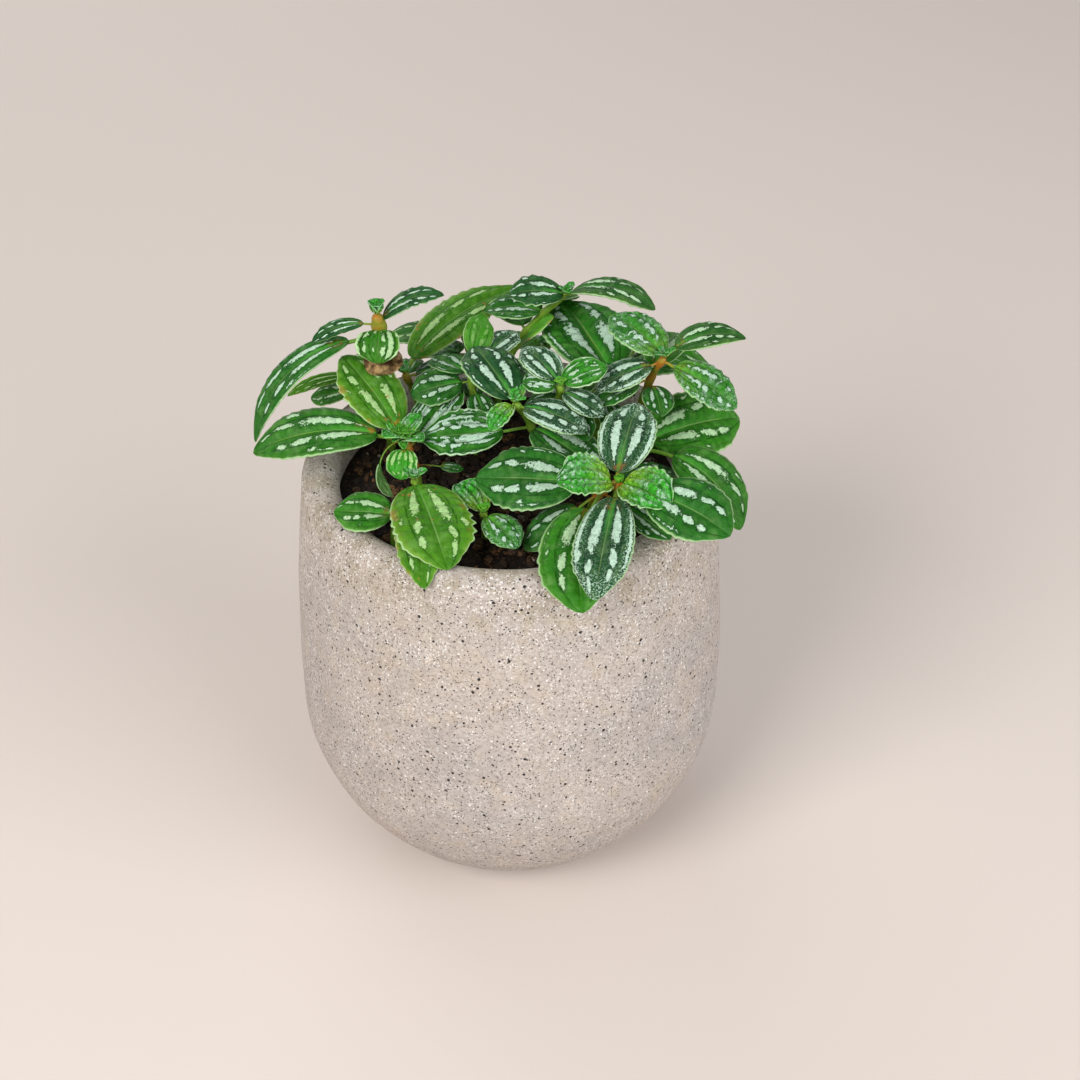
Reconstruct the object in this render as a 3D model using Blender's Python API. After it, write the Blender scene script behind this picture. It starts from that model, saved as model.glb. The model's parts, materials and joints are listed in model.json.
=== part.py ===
"""A potted aluminium plant: a speckled cement pot, its soil, and the leafy stems that stand in it.

Units are metres, +Z is up, and the origin is the centre of the pot's flat base.
Seen from the front, the viewer looks along +Y with +X to the right.
Headings are compass-like degrees: 0 points to +X, 90 to +Y, away from the viewer.
"""

import math
from collections import namedtuple

import bmesh
import bpy
from mathutils import Vector

# Pot: driving dimensions
POT_HEIGHT = 0.133
BELLY_RADIUS = 0.065
BELLY_HEIGHT = 0.054
BASE_RADIUS = 0.032
RIM_RADIUS = 0.0605
WALL = 0.0110
FLOOR = 0.014
DRAIN_RADIUS = 0.0035
DRAIN_CIRCLE = 0.015
DRAIN_COUNT = 3
DRAIN_FIRST_TURN = 30
DRAIN_SIDES = 12
FOOT_BEVEL = 0.0015
BOWL_FULLNESS = 2.1
BOWL_SOFTNESS = 1.2
POT_SIDES = 44
BOWL_STEPS = 8
NECK_STEPS = 3
LIP_STEPS = 6
INSIDE_STEPS = 7
WELD = 0.00001
SHARP_ANGLE = 50

# Soil
SOIL_DEPTH_BELOW_RIM = 0.010
SOIL_GAP = 0.00045
SOIL_RINGS = 5
SOIL_SIDES = 30
SOIL_DOME = 0.0015
LUMP_RISE = 0.0011
LUMP_RING_TURN = 5.1
LUMP_SIDE_TURN = 2.3
LUMP_CROSS_TURN = 1.7

# Stems
STEM_RADIUS = 0.0013
STEM_TOP_RADIUS = 0.0009
STOUT_TOP_RADIUS = 0.0018
STEM_SIDES = 6
STEM_STEPS = 6
STEM_BEND = 0.6
STEM_END = 0.5
STEM_DEPTH = 0.012
HOLE_CLEARANCE = 0.0004
HOLE_HEIGHT = 0.024
HOLE_SIDES = 8

# Leaf form, as shares of the blade's own length or half width
BLADE_WIDTH = 0.56
PETIOLE_BASE = 0.001
PETIOLE_SHARE = 0.12
PETIOLE_RADIUS = 0.0006
PETIOLE_RINGS = ((0.0, 1.3), (0.9, 1.0))
PETIOLE_CORNERS = (180, 120, 90, 60, 0, 270)
BLADE_THICKNESS = 0.0008
QUILT_RISE = 0.13
MARGIN_RISE = 0.02
YOUNG_FOLD = 0.22
TOOTH_DEPTH = 0.055
TIP_SHARE = 0.76
TIP_PINCH = 0.40
SWAY = 0.09
SWAY_TURN = 2.4
BLADE_STEPS = ((0.029, 11), (0.022, 9), (0.014, 7), (0.0, 5))

# Colours
CEMENT_GREY = (0.53, 0.50, 0.46)
CEMENT_ROUGHNESS = 0.85
SOIL_BROWN = (0.050, 0.032, 0.022)
SOIL_ROUGHNESS = 0.95
LEAF_GREEN = (0.07, 0.24, 0.05)
LEAF_ROUGHNESS = 0.45

Leaf = namedtuple("Leaf", "drop heading pitch blade petiole width bend roll sway young")
Shoot = namedtuple("Shoot", "name root crown leaves top", defaults=(STEM_TOP_RADIUS,))


def leaf(drop, heading, pitch, blade, petiole=None, width=None, bend=38, roll=0,
         sway=None, young=False):
    """One leaf: its drop below the crown, its heading and slope in degrees, and its sizes in metres."""
    if petiole is None:
        petiole = PETIOLE_BASE + PETIOLE_SHARE * blade
    if width is None:
        width = BLADE_WIDTH * blade
    return Leaf(drop, heading, pitch, blade, petiole, width, bend, roll, sway, young)


SHOOTS = (
    Shoot("shoot_front_right", (0.022, -0.024), (0.0305, -0.0340, 0.1480), (
        leaf(0.0000, 320, 0, 0.0160, 0.0015, 0.0140, bend=30, roll=16, young=True),
        leaf(0.0000, 196, 8, 0.0150, 0.0022, 0.0154, bend=24, roll=-13, sway=-0.11, young=True),
        leaf(0.0015, 74, 24, 0.0240, 0.0035, 0.0160, bend=30, sway=0),
        leaf(0.0000, 257, -20, 0.0328, 0.0052, 0.0161, bend=18, sway=0.02),
        leaf(0.0030, 168, -5, 0.0295, 0.0090, 0.0210, bend=12, roll=-24),
        leaf(0.0030, 327, -1, 0.0262, 0.0125, 0.0200, bend=40, roll=16),
        leaf(0.0065, 243, -19, 0.0309, 0.0087, 0.0227, bend=39, roll=-3, sway=0.30),
        leaf(0.0090, 212, -26, 0.0190, 0.0070, 0.0130, bend=30),
        leaf(0.0080, 318, -10, 0.0160, 0.0090, 0.0110, bend=24),
        leaf(0.0100, 35, -5, 0.0180, 0.0100, 0.0120, bend=30),
    )),
    Shoot("shoot_right", (0.031, -0.010), (0.0390, -0.0060, 0.1430), (
        leaf(0.0010, 26, 0, 0.0300, 0.0025, 0.0225, bend=30, roll=24),
        leaf(0.0030, 338, -24, 0.0292, 0.0113, 0.0180, bend=88, roll=15, sway=-0.14),
        leaf(0.0030, 100, 10, 0.0160, 0.0030, bend=40),
        leaf(0.0055, 50, -5, 0.0230, 0.0040, bend=40),
    )),
    Shoot("shoot_back_right", (0.037, 0.014), (0.0445, 0.0060, 0.1635), (
        leaf(0.0000, 134, 14, 0.0208, 0.0012, 0.0160, bend=30),
        leaf(0.0000, 24, 9, 0.0205, 0.0042, 0.0113, bend=67, roll=7, sway=-0.22),
        leaf(0.0020, 335, -25, 0.0214, 0.0041, 0.0146, bend=33, roll=10, sway=0.06),
        leaf(0.0030, 193, -17, 0.0172, 0.0028, 0.0122, bend=30, roll=-8),
        leaf(0.0100, 72, 0, 0.0230, 0.0040, bend=45),
        leaf(0.0230, 341, -9, 0.0230, 0.0055, 0.0150, bend=40),
        leaf(0.0115, 207, -8, 0.0160, 0.0040, 0.0105, bend=34),
        leaf(0.0120, 285, -8, 0.0130, 0.0030, 0.0090, bend=30),
    )),
    Shoot("shoot_centre", (0.010, 0.000), (0.002, -0.006, 0.156), (
        leaf(0.0000, 228, -25, 0.0100, 0.0010, 0.0072, bend=20, young=True),
        leaf(0.0000, 75, 14, 0.0070, 0.0010, 0.0048, bend=20, young=True),
        leaf(0.0010, 127, 17, 0.0225, 0.0020, 0.0170, bend=36),
        leaf(0.0119, 195, -6, 0.0225, 0.0082, 0.0158, bend=13, roll=-20, sway=-0.24),
        leaf(0.0020, 339, -10, 0.0200, 0.0020, 0.0148, bend=40),
        leaf(0.0120, 319, -9, 0.0272, 0.0012, 0.0178, bend=22),
    )),
    Shoot("shoot_centre_back", (0.014, 0.008), (0.015, -0.001, 0.1585), (
        leaf(0.0000, 130, 18, 0.0152, 0.0020, 0.0118, bend=30),
        leaf(0.0000, 26, 13, 0.0135, 0.0010, 0.0114, bend=16, roll=7, sway=-0.10, young=True),
        leaf(0.0010, 172, 5, 0.0098, 0.0013, 0.0112, bend=33, roll=-11, sway=0.05),
        leaf(0.0030, 324, -15, 0.0138, 0.0015, 0.0102, bend=30),
        leaf(0.0150, 65, 0, 0.0180, 0.0040, bend=40),
        leaf(0.0080, 300, -14, 0.0150, 0.0030, 0.0100, bend=34),
        leaf(0.0030, 136, 6, 0.0140, 0.0027, 0.0079, bend=20, sway=-0.08, young=True),
    )),
    Shoot("shoot_broad", (0.026, 0.024), (0.0305, 0.0190, 0.1500), (
        leaf(0.0000, 115, 10, 0.0350, 0.0012, 0.0265, bend=22),
        leaf(0.0020, 20, -4, 0.0220, 0.0040, bend=40),
        leaf(0.0080, 200, -8, 0.0220, 0.0040, bend=40),
        leaf(0.0110, 285, -12, 0.0170, 0.0040, bend=40),
    )),
    Shoot("shoot_back", (-0.004, 0.038), (0.017, 0.036, 0.167), (
        leaf(0.0000, 187, 4, 0.0165, 0.0010, 0.0125, bend=34, roll=-16),
        leaf(0.0000, 335, -1, 0.0275, 0.0021, 0.0132, bend=86, roll=-3, sway=0.12),
        leaf(0.0075, 158, -4, 0.0172, 0.0008, 0.0131, bend=32, roll=-8, sway=0.22),
        leaf(0.0040, 80, -28, 0.0220, 0.0030, bend=45),
        leaf(0.0200, 328, 46, 0.0160, 0.0018, 0.0090, bend=15, roll=22, sway=0.06),
        leaf(0.0150, 110, -12, 0.0200, 0.0030, bend=45),
    )),
    Shoot("shoot_back_left", (-0.026, 0.024), (-0.031, 0.022, 0.1485), (
        leaf(0.0000, 62, 16, 0.0392, 0.0055, 0.0152, bend=22, roll=4, sway=-0.36),
        leaf(0.0030, 88, -12, 0.0150, 0.0030, bend=45),
        leaf(0.0020, 15, 4, 0.0180, 0.0030, 0.0115, bend=30),
    )),
    Shoot("shoot_inner", (-0.010, 0.016), (-0.011, 0.014, 0.156), (
        leaf(0.0070, 193, -8, 0.0155, 0.0030, 0.0140, bend=30, roll=-16),
        leaf(0.0000, 73, 26, 0.0145, 0.0035, 0.0092, bend=20, roll=30),
        leaf(0.0045, 139, -4, 0.0145, 0.0025, 0.0105, bend=30),
        leaf(0.0020, 45, 12, 0.0150, 0.0055, 0.0108, bend=30),
        leaf(0.0090, 288, -14, 0.0100, 0.0040, 0.0080, bend=30),
        leaf(0.0170, 95, -4, 0.0160, 0.0040, bend=40),
    )),
    Shoot("shoot_tall_left", (-0.0355, 0.019), (-0.037, 0.013, 0.1735), (
        leaf(0.0000, 10, 62, 0.0045, 0.0005, 0.0046, bend=20, young=True),
        leaf(0.0000, 190, 62, 0.0045, 0.0005, 0.0046, bend=20, young=True),
        leaf(0.0065, 272, -24, 0.0108, 0.0034, 0.0125, bend=104, roll=2, sway=-0.02, young=True),
        leaf(0.0055, 190, -8, 0.0162, 0.0045, 0.0045, bend=64, roll=-48, sway=0.07),
        leaf(0.0050, 4, 26, 0.0202, 0.0023, 0.0075, bend=73, roll=16, sway=-0.02),
        leaf(0.0110, 189, -34, 0.0421, 0.0092, 0.0110, bend=88, roll=-19, sway=0.17),
        leaf(0.0100, 277, -60, 0.0092, 0.0030, 0.0110, bend=86, roll=-4, sway=0.02),
    ), STOUT_TOP_RADIUS),
    Shoot("shoot_left", (-0.026, -0.004), (-0.030, -0.004, 0.1425), (
        leaf(0.0000, 45, 35, 0.0080, 0.0010, 0.0060, bend=20, young=True),
        leaf(0.0000, 225, 30, 0.0075, 0.0010, 0.0060, bend=20, young=True),
        leaf(0.0010, 135, 35, 0.0080, 0.0010, 0.0060, bend=20, young=True),
        leaf(0.0010, 315, 25, 0.0075, 0.0010, 0.0060, bend=20, young=True),
        leaf(0.0020, 263, -38, 0.0092, 0.0022, 0.0089, bend=58, young=True),
        leaf(0.0018, 191, 1, 0.0368, 0.0088, 0.0182, bend=66, roll=-14),
        leaf(0.0010, 130, 35, 0.0265, 0.0045, 0.0185, bend=20),
        leaf(0.0040, 52, 21, 0.0235, 0.0024, 0.0136, bend=18, sway=0),
        leaf(0.0010, 210, -56, 0.0096, 0.0104, 0.0045, bend=156, roll=52, sway=0.39),
        leaf(0.0100, 352, -2, 0.0070, 0.0075, 0.0048, bend=20),
    )),
    Shoot("shoot_front_left", (-0.024, -0.020), (-0.026, -0.022, 0.141), (
        leaf(0.0006, 288, -11, 0.0325, 0.0026, 0.0222, bend=30),
        leaf(0.0040, 272, -10, 0.0335, 0.0055, 0.0130, bend=40),
    )),
    Shoot("shoot_front_small", (-0.006, -0.027), (-0.0065, -0.0310, 0.1360), (
        leaf(0.0000, 308, -11, 0.0142, 0.0020, 0.0109, bend=27, roll=4, young=True),
        leaf(0.0010, 114, 9, 0.0129, 0.0010, 0.0102, bend=32, sway=0.16, young=True),
    )),
    Shoot("shoot_side_left", (-0.032, 0.028), (-0.040, 0.031, 0.1405), (
        leaf(0.0000, 177, -7, 0.0198, 0.0077, 0.0040, bend=48, roll=-49, sway=0.19),
        leaf(0.0020, 191, -17, 0.0134, 0.0092, 0.0089, bend=35, roll=-11, sway=-0.36),
        leaf(0.0000, 100, -12, 0.0230, 0.0030, bend=45),
        leaf(0.0050, 150, -16, 0.0260, 0.0040, bend=50),
    )),
    Shoot("shoot_rear", (0.008, 0.044), (0.012, 0.050, 0.1405), (
        leaf(0.0000, 65, -14, 0.0240, 0.0030, bend=45),
        leaf(0.0000, 160, -8, 0.0200, 0.0030, bend=40),
        leaf(0.0030, 108, -22, 0.0260, 0.0050, bend=50),
    )),
    Shoot("shoot_rear_left", (-0.010, 0.038), (-0.014, 0.042, 0.150), (
        leaf(0.0010, 95, -20, 0.0240, 0.0030, bend=45),
        leaf(0.0010, 172, -4, 0.0220, 0.0030, 0.0130, bend=35),
        leaf(0.0080, 135, -28, 0.0280, 0.0050, bend=50),
    )),
    Shoot("shoot_rear_right", (0.030, 0.036), (0.038, 0.040, 0.147), (
        leaf(0.0010, 75, -16, 0.0240, 0.0030, bend=45),
        leaf(0.0010, 5, -20, 0.0240, 0.0030, bend=45),
        leaf(0.0070, 120, -24, 0.0260, 0.0040, bend=50),
        leaf(0.0070, 35, -28, 0.0280, 0.0050, bend=50),
        leaf(0.0110, 188, -2, 0.0170, 0.0040, bend=40),
    )),
    Shoot("shoot_rim_left", (-0.0315, -0.0300), (-0.0302, -0.0322, 0.1362), (
        leaf(0.0000, 174, -1, 0.0166, 0.0012, 0.0150, bend=12, roll=-12),
    )),
)


def clear_scene():
    """Empties the file, so that the script can be run again."""
    for obj in list(bpy.data.objects):
        bpy.data.objects.remove(obj, do_unlink=True)


def new_material(name, colour, roughness):
    """A Principled material with the part's own colour."""
    material = bpy.data.materials.new(name)
    material.use_nodes = True
    shader = material.node_tree.nodes["Principled BSDF"]
    shader.inputs["Base Color"].default_value = (*colour, 1.0)
    shader.inputs["Roughness"].default_value = roughness
    shader.inputs["Metallic"].default_value = 0.0
    return material


def add_object(name, mesh_data, material, collection=None):
    """Links a finished bmesh to the scene as a smooth-shaded object."""
    mesh = bpy.data.meshes.new(name)
    bmesh.ops.recalc_face_normals(mesh_data, faces=mesh_data.faces)
    mesh_data.to_mesh(mesh)
    mesh_data.free()
    mesh.shade_smooth()
    mesh.set_sharp_from_angle(angle=math.radians(SHARP_ANGLE))
    if material:
        mesh.materials.append(material)
    obj = bpy.data.objects.new(name, mesh)
    (collection or bpy.context.scene.collection).objects.link(obj)
    return obj


def bowl_radius(height):
    """Outer radius of the pot's bowl, from the flat base up to the belly."""
    share = (BELLY_HEIGHT - height) / BELLY_HEIGHT
    fullness = max(1.0 - share ** BOWL_FULLNESS, 0.0) ** (1.0 / BOWL_SOFTNESS)
    return BASE_RADIUS + (BELLY_RADIUS - BASE_RADIUS) * fullness


def neck_radius(height):
    """Outer radius of the pot from the belly up to where the lip begins."""
    share = (height - BELLY_HEIGHT) / (POT_HEIGHT - WALL / 2 - BELLY_HEIGHT)
    return BELLY_RADIUS - (BELLY_RADIUS - RIM_RADIUS) * share ** 2


def outer_radius(height):
    return bowl_radius(height) if height < BELLY_HEIGHT else neck_radius(height)


def pot_profile():
    """Outline of the wall as (radius, height) points: along the foot, up, over the lip and down inside."""
    lip_height = POT_HEIGHT - WALL / 2
    points = [(0.0, 0.0), (BASE_RADIUS - FOOT_BEVEL, 0.0)]
    for step in range(1, BOWL_STEPS + 1):
        height = BELLY_HEIGHT * (1.0 - math.cos(math.pi / 2 * step / BOWL_STEPS))
        points.append((bowl_radius(height), height))
    for step in range(1, NECK_STEPS + 1):
        height = BELLY_HEIGHT + (lip_height - BELLY_HEIGHT) * step / NECK_STEPS
        points.append((neck_radius(height), height))
    for step in range(1, LIP_STEPS + 1):
        turn = math.pi * step / LIP_STEPS
        radius = RIM_RADIUS - WALL / 2 * (1 - math.cos(turn))
        points.append((radius, lip_height + WALL / 2 * math.sin(turn)))
    points += [(inner_radius(height), height) for height in inside_heights()]
    points.append((inner_radius(FLOOR) - FOOT_BEVEL, FLOOR))
    points.append((0.0, FLOOR))
    return points


def inside_heights():
    """Heights of the rings down the inside wall, from just below the lip to just above the floor."""
    depth = POT_HEIGHT - WALL / 2 - FLOOR
    return [FLOOR + depth * step / INSIDE_STEPS for step in range(INSIDE_STEPS - 1, 0, -1)]


def inner_radius(height):
    return outer_radius(height) - WALL


def build_pot(material):
    """The cement pot: one closed wall, spun about the axis, with drain holes through its floor."""
    shape = bmesh.new()
    profile = [shape.verts.new((radius, 0.0, height)) for radius, height in pot_profile()]
    edges = [shape.edges.new((a, b)) for a, b in zip(profile, profile[1:])]
    bmesh.ops.spin(shape, geom=profile + edges, cent=(0, 0, 0), axis=(0, 0, 1),
                   angle=math.tau, steps=POT_SIDES, use_merge=True)
    bmesh.ops.remove_doubles(shape, verts=shape.verts, dist=WELD)
    pot = add_object("pot", shape, material)
    holes = bpy.data.collections.new("drain_holes")
    for number in range(DRAIN_COUNT):
        turn = math.radians(DRAIN_FIRST_TURN) + math.tau * number / DRAIN_COUNT
        centre = (DRAIN_CIRCLE * math.cos(turn), DRAIN_CIRCLE * math.sin(turn), FLOOR / 2)
        add_cutter(f"drain_{number}", centre, DRAIN_RADIUS, 2 * FLOOR, DRAIN_SIDES, holes)
    apply_boolean(pot, holes, "DIFFERENCE")
    return pot


def add_cutter(name, centre, radius, height, sides, collection):
    """A plain upright cylinder that a Boolean takes away."""
    shape = bmesh.new()
    bmesh.ops.create_cone(shape, cap_ends=True, segments=sides, depth=height, radius1=radius, radius2=radius)
    bmesh.ops.translate(shape, verts=shape.verts, vec=centre)
    cutter = add_object(name, shape, None, collection)
    cutter.hide_render = True
    cutter.display_type = "WIRE"


def soil_level():
    return POT_HEIGHT - SOIL_DEPTH_BELOW_RIM


def lump(ring, side):
    """How far the soil's crumbs rise above its smooth dome, by waves that don't fall into step."""
    wave = math.sin(LUMP_RING_TURN * ring + LUMP_SIDE_TURN * side)
    return LUMP_RISE * wave * math.cos(LUMP_CROSS_TURN * side * ring)


def build_soil(material):
    """The potting soil: it fills the pot to just below the rim, with a plain hole for each stem."""
    shape = bmesh.new()
    level = soil_level()
    edge_radius = inner_radius(level) - SOIL_GAP
    rings = []
    for ring in range(1, SOIL_RINGS):
        share = ring / SOIL_RINGS
        rings.append(soil_ring(shape, edge_radius * share, level + SOIL_DOME * (1 - share ** 2), ring))
    rings.append(soil_ring(shape, edge_radius, level))
    for height in inside_heights():
        rings.append(soil_ring(shape, inner_radius(height) - SOIL_GAP, height))
    rings.append(soil_ring(shape, inner_radius(FLOOR) - FOOT_BEVEL - SOIL_GAP, FLOOR + SOIL_GAP))
    for inner, outer in zip(rings, rings[1:]):
        bridge(shape, inner, outer)
    close_ring(shape, rings[0], (0, 0, level + SOIL_DOME))
    close_ring(shape, rings[-1], (0, 0, FLOOR + SOIL_GAP))
    bmesh.ops.triangulate(shape, faces=shape.faces)
    soil = add_object("soil", shape, material)
    cut_stem_holes(soil)
    return soil


def soil_ring(shape, radius, height, ring=0):
    """A closed ring of vertices, lumpy where it lies on the soil's surface."""
    verts = []
    for side in range(SOIL_SIDES):
        turn = math.tau * (side + 0.5 * (ring % 2)) / SOIL_SIDES
        rise = lump(ring, side) if ring else 0.0
        verts.append(shape.verts.new((radius * math.cos(turn), radius * math.sin(turn), height + rise)))
    return verts


def bridge(shape, inner, outer):
    """Joins two rings of as many corners with a band of faces."""
    for index in range(len(inner)):
        after = (index + 1) % len(inner)
        shape.faces.new((inner[index], outer[index], outer[after], inner[after]))


def close_ring(shape, ring, centre):
    """Closes a ring with a fan of triangles round one point."""
    middle = shape.verts.new(centre)
    for near, far in zip(ring, ring[1:] + ring[:1]):
        shape.faces.new((near, far, middle))


def cut_stem_holes(soil):
    """Cuts one plain round hole for each stem."""
    holes = bpy.data.collections.new("stem_holes")
    depth = STEM_DEPTH + HOLE_CLEARANCE
    for shoot in SHOOTS:
        centre = (*shoot.root, soil_level() - depth + HOLE_HEIGHT / 2)
        radius = STEM_RADIUS + HOLE_CLEARANCE
        add_cutter(f"hole_{shoot.name}", centre, radius, HOLE_HEIGHT, HOLE_SIDES, holes)
    apply_boolean(soil, holes, "DIFFERENCE")


def apply_boolean(obj, collection, operation, solver="EXACT"):
    """Applies one Boolean with a whole collection, then removes the collection's objects."""
    bpy.context.scene.collection.children.link(collection)
    modifier = obj.modifiers.new(operation.title(), "BOOLEAN")
    modifier.operation = operation
    modifier.operand_type = "COLLECTION"
    modifier.collection = collection
    modifier.solver = solver
    graph = bpy.context.evaluated_depsgraph_get()
    joined = bpy.data.meshes.new_from_object(obj.evaluated_get(graph))
    obj.modifiers.clear()
    obj.data = joined
    for helper in list(collection.objects):
        bpy.data.objects.remove(helper, do_unlink=True)
    bpy.data.collections.remove(collection)


def stem_point(shoot, share):
    """A point on the stem: straight up out of the soil, then leaning over to the crown."""
    foot = Vector((*shoot.root, soil_level()))
    crown = Vector(shoot.crown)
    bend = Vector((*shoot.root, foot.z + STEM_BEND * (crown.z - foot.z)))
    return foot * (1 - share) ** 2 + bend * 2 * share * (1 - share) + crown * share ** 2


def stem_share(shoot, drop):
    """Where on the stem a node lies that is this far below the crown."""
    return 1.0 - drop / (shoot.crown[2] - soil_level())


def half_width(leaf, share):
    """Half the blade's width at a share of its length: a full oval with a short drawn-out tip."""
    oval = 2 * math.sqrt(max(share * (1 - share), 0.0))
    pinch = TIP_PINCH * max(share - TIP_SHARE, 0.0) / (1 - TIP_SHARE)
    return leaf.width / 2 * oval * (1 - pinch)


def leaf_frame(shoot, leaf, index, along):
    """Midrib point, side vector and upward normal at a distance along the leaf from its stem node."""
    total = leaf.petiole + leaf.blade
    start = math.radians(leaf.pitch + leaf.bend / 2)
    rate = math.radians(leaf.bend) / total
    slope = start - rate * along
    forward = (math.sin(start) - math.sin(slope)) / rate
    rise = (math.cos(slope) - math.cos(start)) / rate
    turn = math.radians(leaf.heading)
    ahead = Vector((math.cos(turn), math.sin(turn), 0))
    left = Vector((-math.sin(turn), math.cos(turn), 0))
    sway = SWAY * math.sin(SWAY_TURN * index) if leaf.sway is None else leaf.sway
    foot = stem_point(shoot, stem_share(shoot, leaf.drop))
    up = Vector((0, 0, 1))
    point = foot + ahead * forward + up * rise + left * (sway * along ** 2 / total)
    tangent = ahead * math.cos(slope) + up * math.sin(slope) + left * (2 * sway * along / total)
    roll = math.radians(leaf.roll) * min(along / leaf.petiole, 1.0)
    flat_normal = tangent.cross(left).normalized()
    flat_side = flat_normal.cross(tangent).normalized()
    side = flat_side * math.cos(roll) + flat_normal * math.sin(roll)
    normal = flat_normal * math.cos(roll) - flat_side * math.sin(roll)
    return point, side, normal


def section(leaf, half, tooth):
    """Cross-section of the blade as (across, rise) pairs: edge, ridge, groove, ridge, edge, underside."""
    fold = YOUNG_FOLD if leaf.young else 0.0
    edge = half * (1 + tooth)
    edge_rise = half * (MARGIN_RISE + fold)
    ridge = half / 2
    ridge_rise = half * (QUILT_RISE + fold / 2) + BLADE_THICKNESS / 4
    groove = (0, BLADE_THICKNESS / 4)
    keel = (0, -BLADE_THICKNESS * 3 / 4)
    return (-edge, edge_rise), (-ridge, ridge_rise), groove, (ridge, ridge_rise), (edge, edge_rise), keel


def petiole_ring(shape, frame, radius):
    """A ring round the petiole, with one corner for each point of the blade's cross-section."""
    point, side, normal = frame
    ring = []
    for corner in PETIOLE_CORNERS:
        turn = math.radians(corner)
        ring.append(shape.verts.new(point + (side * math.cos(turn) + normal * math.sin(turn)) * radius))
    return ring


def blade_ring(shape, frame, outline):
    """A ring across the blade through the points of its cross-section."""
    point, side, normal = frame
    return [shape.verts.new(point + side * across + normal * rise) for across, rise in outline]


def blade_steps(leaf):
    """How many stretches the blade is built from: long blades have more teeth."""
    return next(steps for length, steps in BLADE_STEPS if leaf.blade >= length)


def build_leaf(shoot, leaf, index, collection):
    """One leaf as a closed loft: petiole, toothed blade with a sunken midrib, and a drawn-out tip."""
    shape = bmesh.new()
    rings = []
    for share, swell in PETIOLE_RINGS:
        frame = leaf_frame(shoot, leaf, index, leaf.petiole * share)
        rings.append(petiole_ring(shape, frame, PETIOLE_RADIUS * swell))
    steps = blade_steps(leaf)
    for step in range(1, steps):
        share = step / steps
        tooth = TOOTH_DEPTH if step % 2 else -TOOTH_DEPTH
        frame = leaf_frame(shoot, leaf, index, leaf.petiole + leaf.blade * share)
        rings.append(blade_ring(shape, frame, section(leaf, half_width(leaf, share), tooth)))
    for near, far in zip(rings, rings[1:]):
        bridge(shape, near, far)
    shape.faces.new(rings[0])
    tip = leaf_frame(shoot, leaf, index, leaf.petiole + leaf.blade)[0]
    close_ring(shape, rings[-1], tip)
    bmesh.ops.triangulate(shape, faces=shape.faces)
    return add_object(f"{shoot.name}_leaf_{index}", shape, None, collection)


def stem_ring(shape, centre, along, radius):
    """A ring round the stem, square to the way that it grows there."""
    side = along.cross(Vector((0, 1, 0))).normalized()
    other = along.cross(side)
    ring = []
    for corner in range(STEM_SIDES):
        turn = math.tau * corner / STEM_SIDES
        ring.append(shape.verts.new(centre + (side * math.cos(turn) + other * math.sin(turn)) * radius))
    return ring


def build_stem(shoot, material):
    """The stem as a tapering tube, from its foot in the soil to just above the crown."""
    shape = bmesh.new()
    upward = Vector((0, 0, 1))
    foot = stem_point(shoot, 0)
    rings = [stem_ring(shape, foot - upward * STEM_DEPTH, upward, STEM_RADIUS),
             stem_ring(shape, foot, upward, STEM_RADIUS)]
    for step in range(1, STEM_STEPS + 1):
        share = step / STEM_STEPS
        centre = stem_point(shoot, share)
        along = (centre - stem_point(shoot, share - 1 / STEM_STEPS)).normalized()
        radius = STEM_RADIUS + (shoot.top - STEM_RADIUS) * share
        rings.append(stem_ring(shape, centre, along, radius))
    rings.append(stem_ring(shape, centre + along * shoot.top, along, shoot.top * STEM_END))
    for near, far in zip(rings, rings[1:]):
        bridge(shape, near, far)
    shape.faces.new(rings[0])
    shape.faces.new(rings[-1])
    bmesh.ops.triangulate(shape, faces=shape.faces)
    return add_object(shoot.name, shape, material)


def build_shoot(shoot, material):
    """A leafy stem: the stem and its leaves, fused into one solid."""
    stem = build_stem(shoot, material)
    leaves = bpy.data.collections.new(f"{shoot.name}_leaves")
    for index, one in enumerate(shoot.leaves):
        build_leaf(shoot, one, index, leaves)
    apply_boolean(stem, leaves, "UNION")
    stem.data.materials.clear()
    stem.data.materials.append(material)
    return stem


def main():
    clear_scene()
    foliage = new_material("foliage", LEAF_GREEN, LEAF_ROUGHNESS)
    build_pot(new_material("cement", CEMENT_GREY, CEMENT_ROUGHNESS))
    build_soil(new_material("soil", SOIL_BROWN, SOIL_ROUGHNESS))
    for shoot in SHOOTS:
        build_shoot(shoot, foliage)


if __name__ == "__main__":
    main()
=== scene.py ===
"""Dresses a potted aluminium plant: a speckled cement pot, crumbly soil and shoots of silver-patched leaves.

Lengths are metres and +Z is up. Only the tables of shoots and buds are in millimetres.
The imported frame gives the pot's and the soil's sizes.
Seen from the front, the viewer looks along +Y with +X to the right.
"""

import json
import math
import random
from collections import namedtuple

import bmesh
import bpy
from bpy.props import FloatProperty, FloatVectorProperty, IntProperty, PointerProperty
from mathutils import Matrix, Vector, noise

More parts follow.
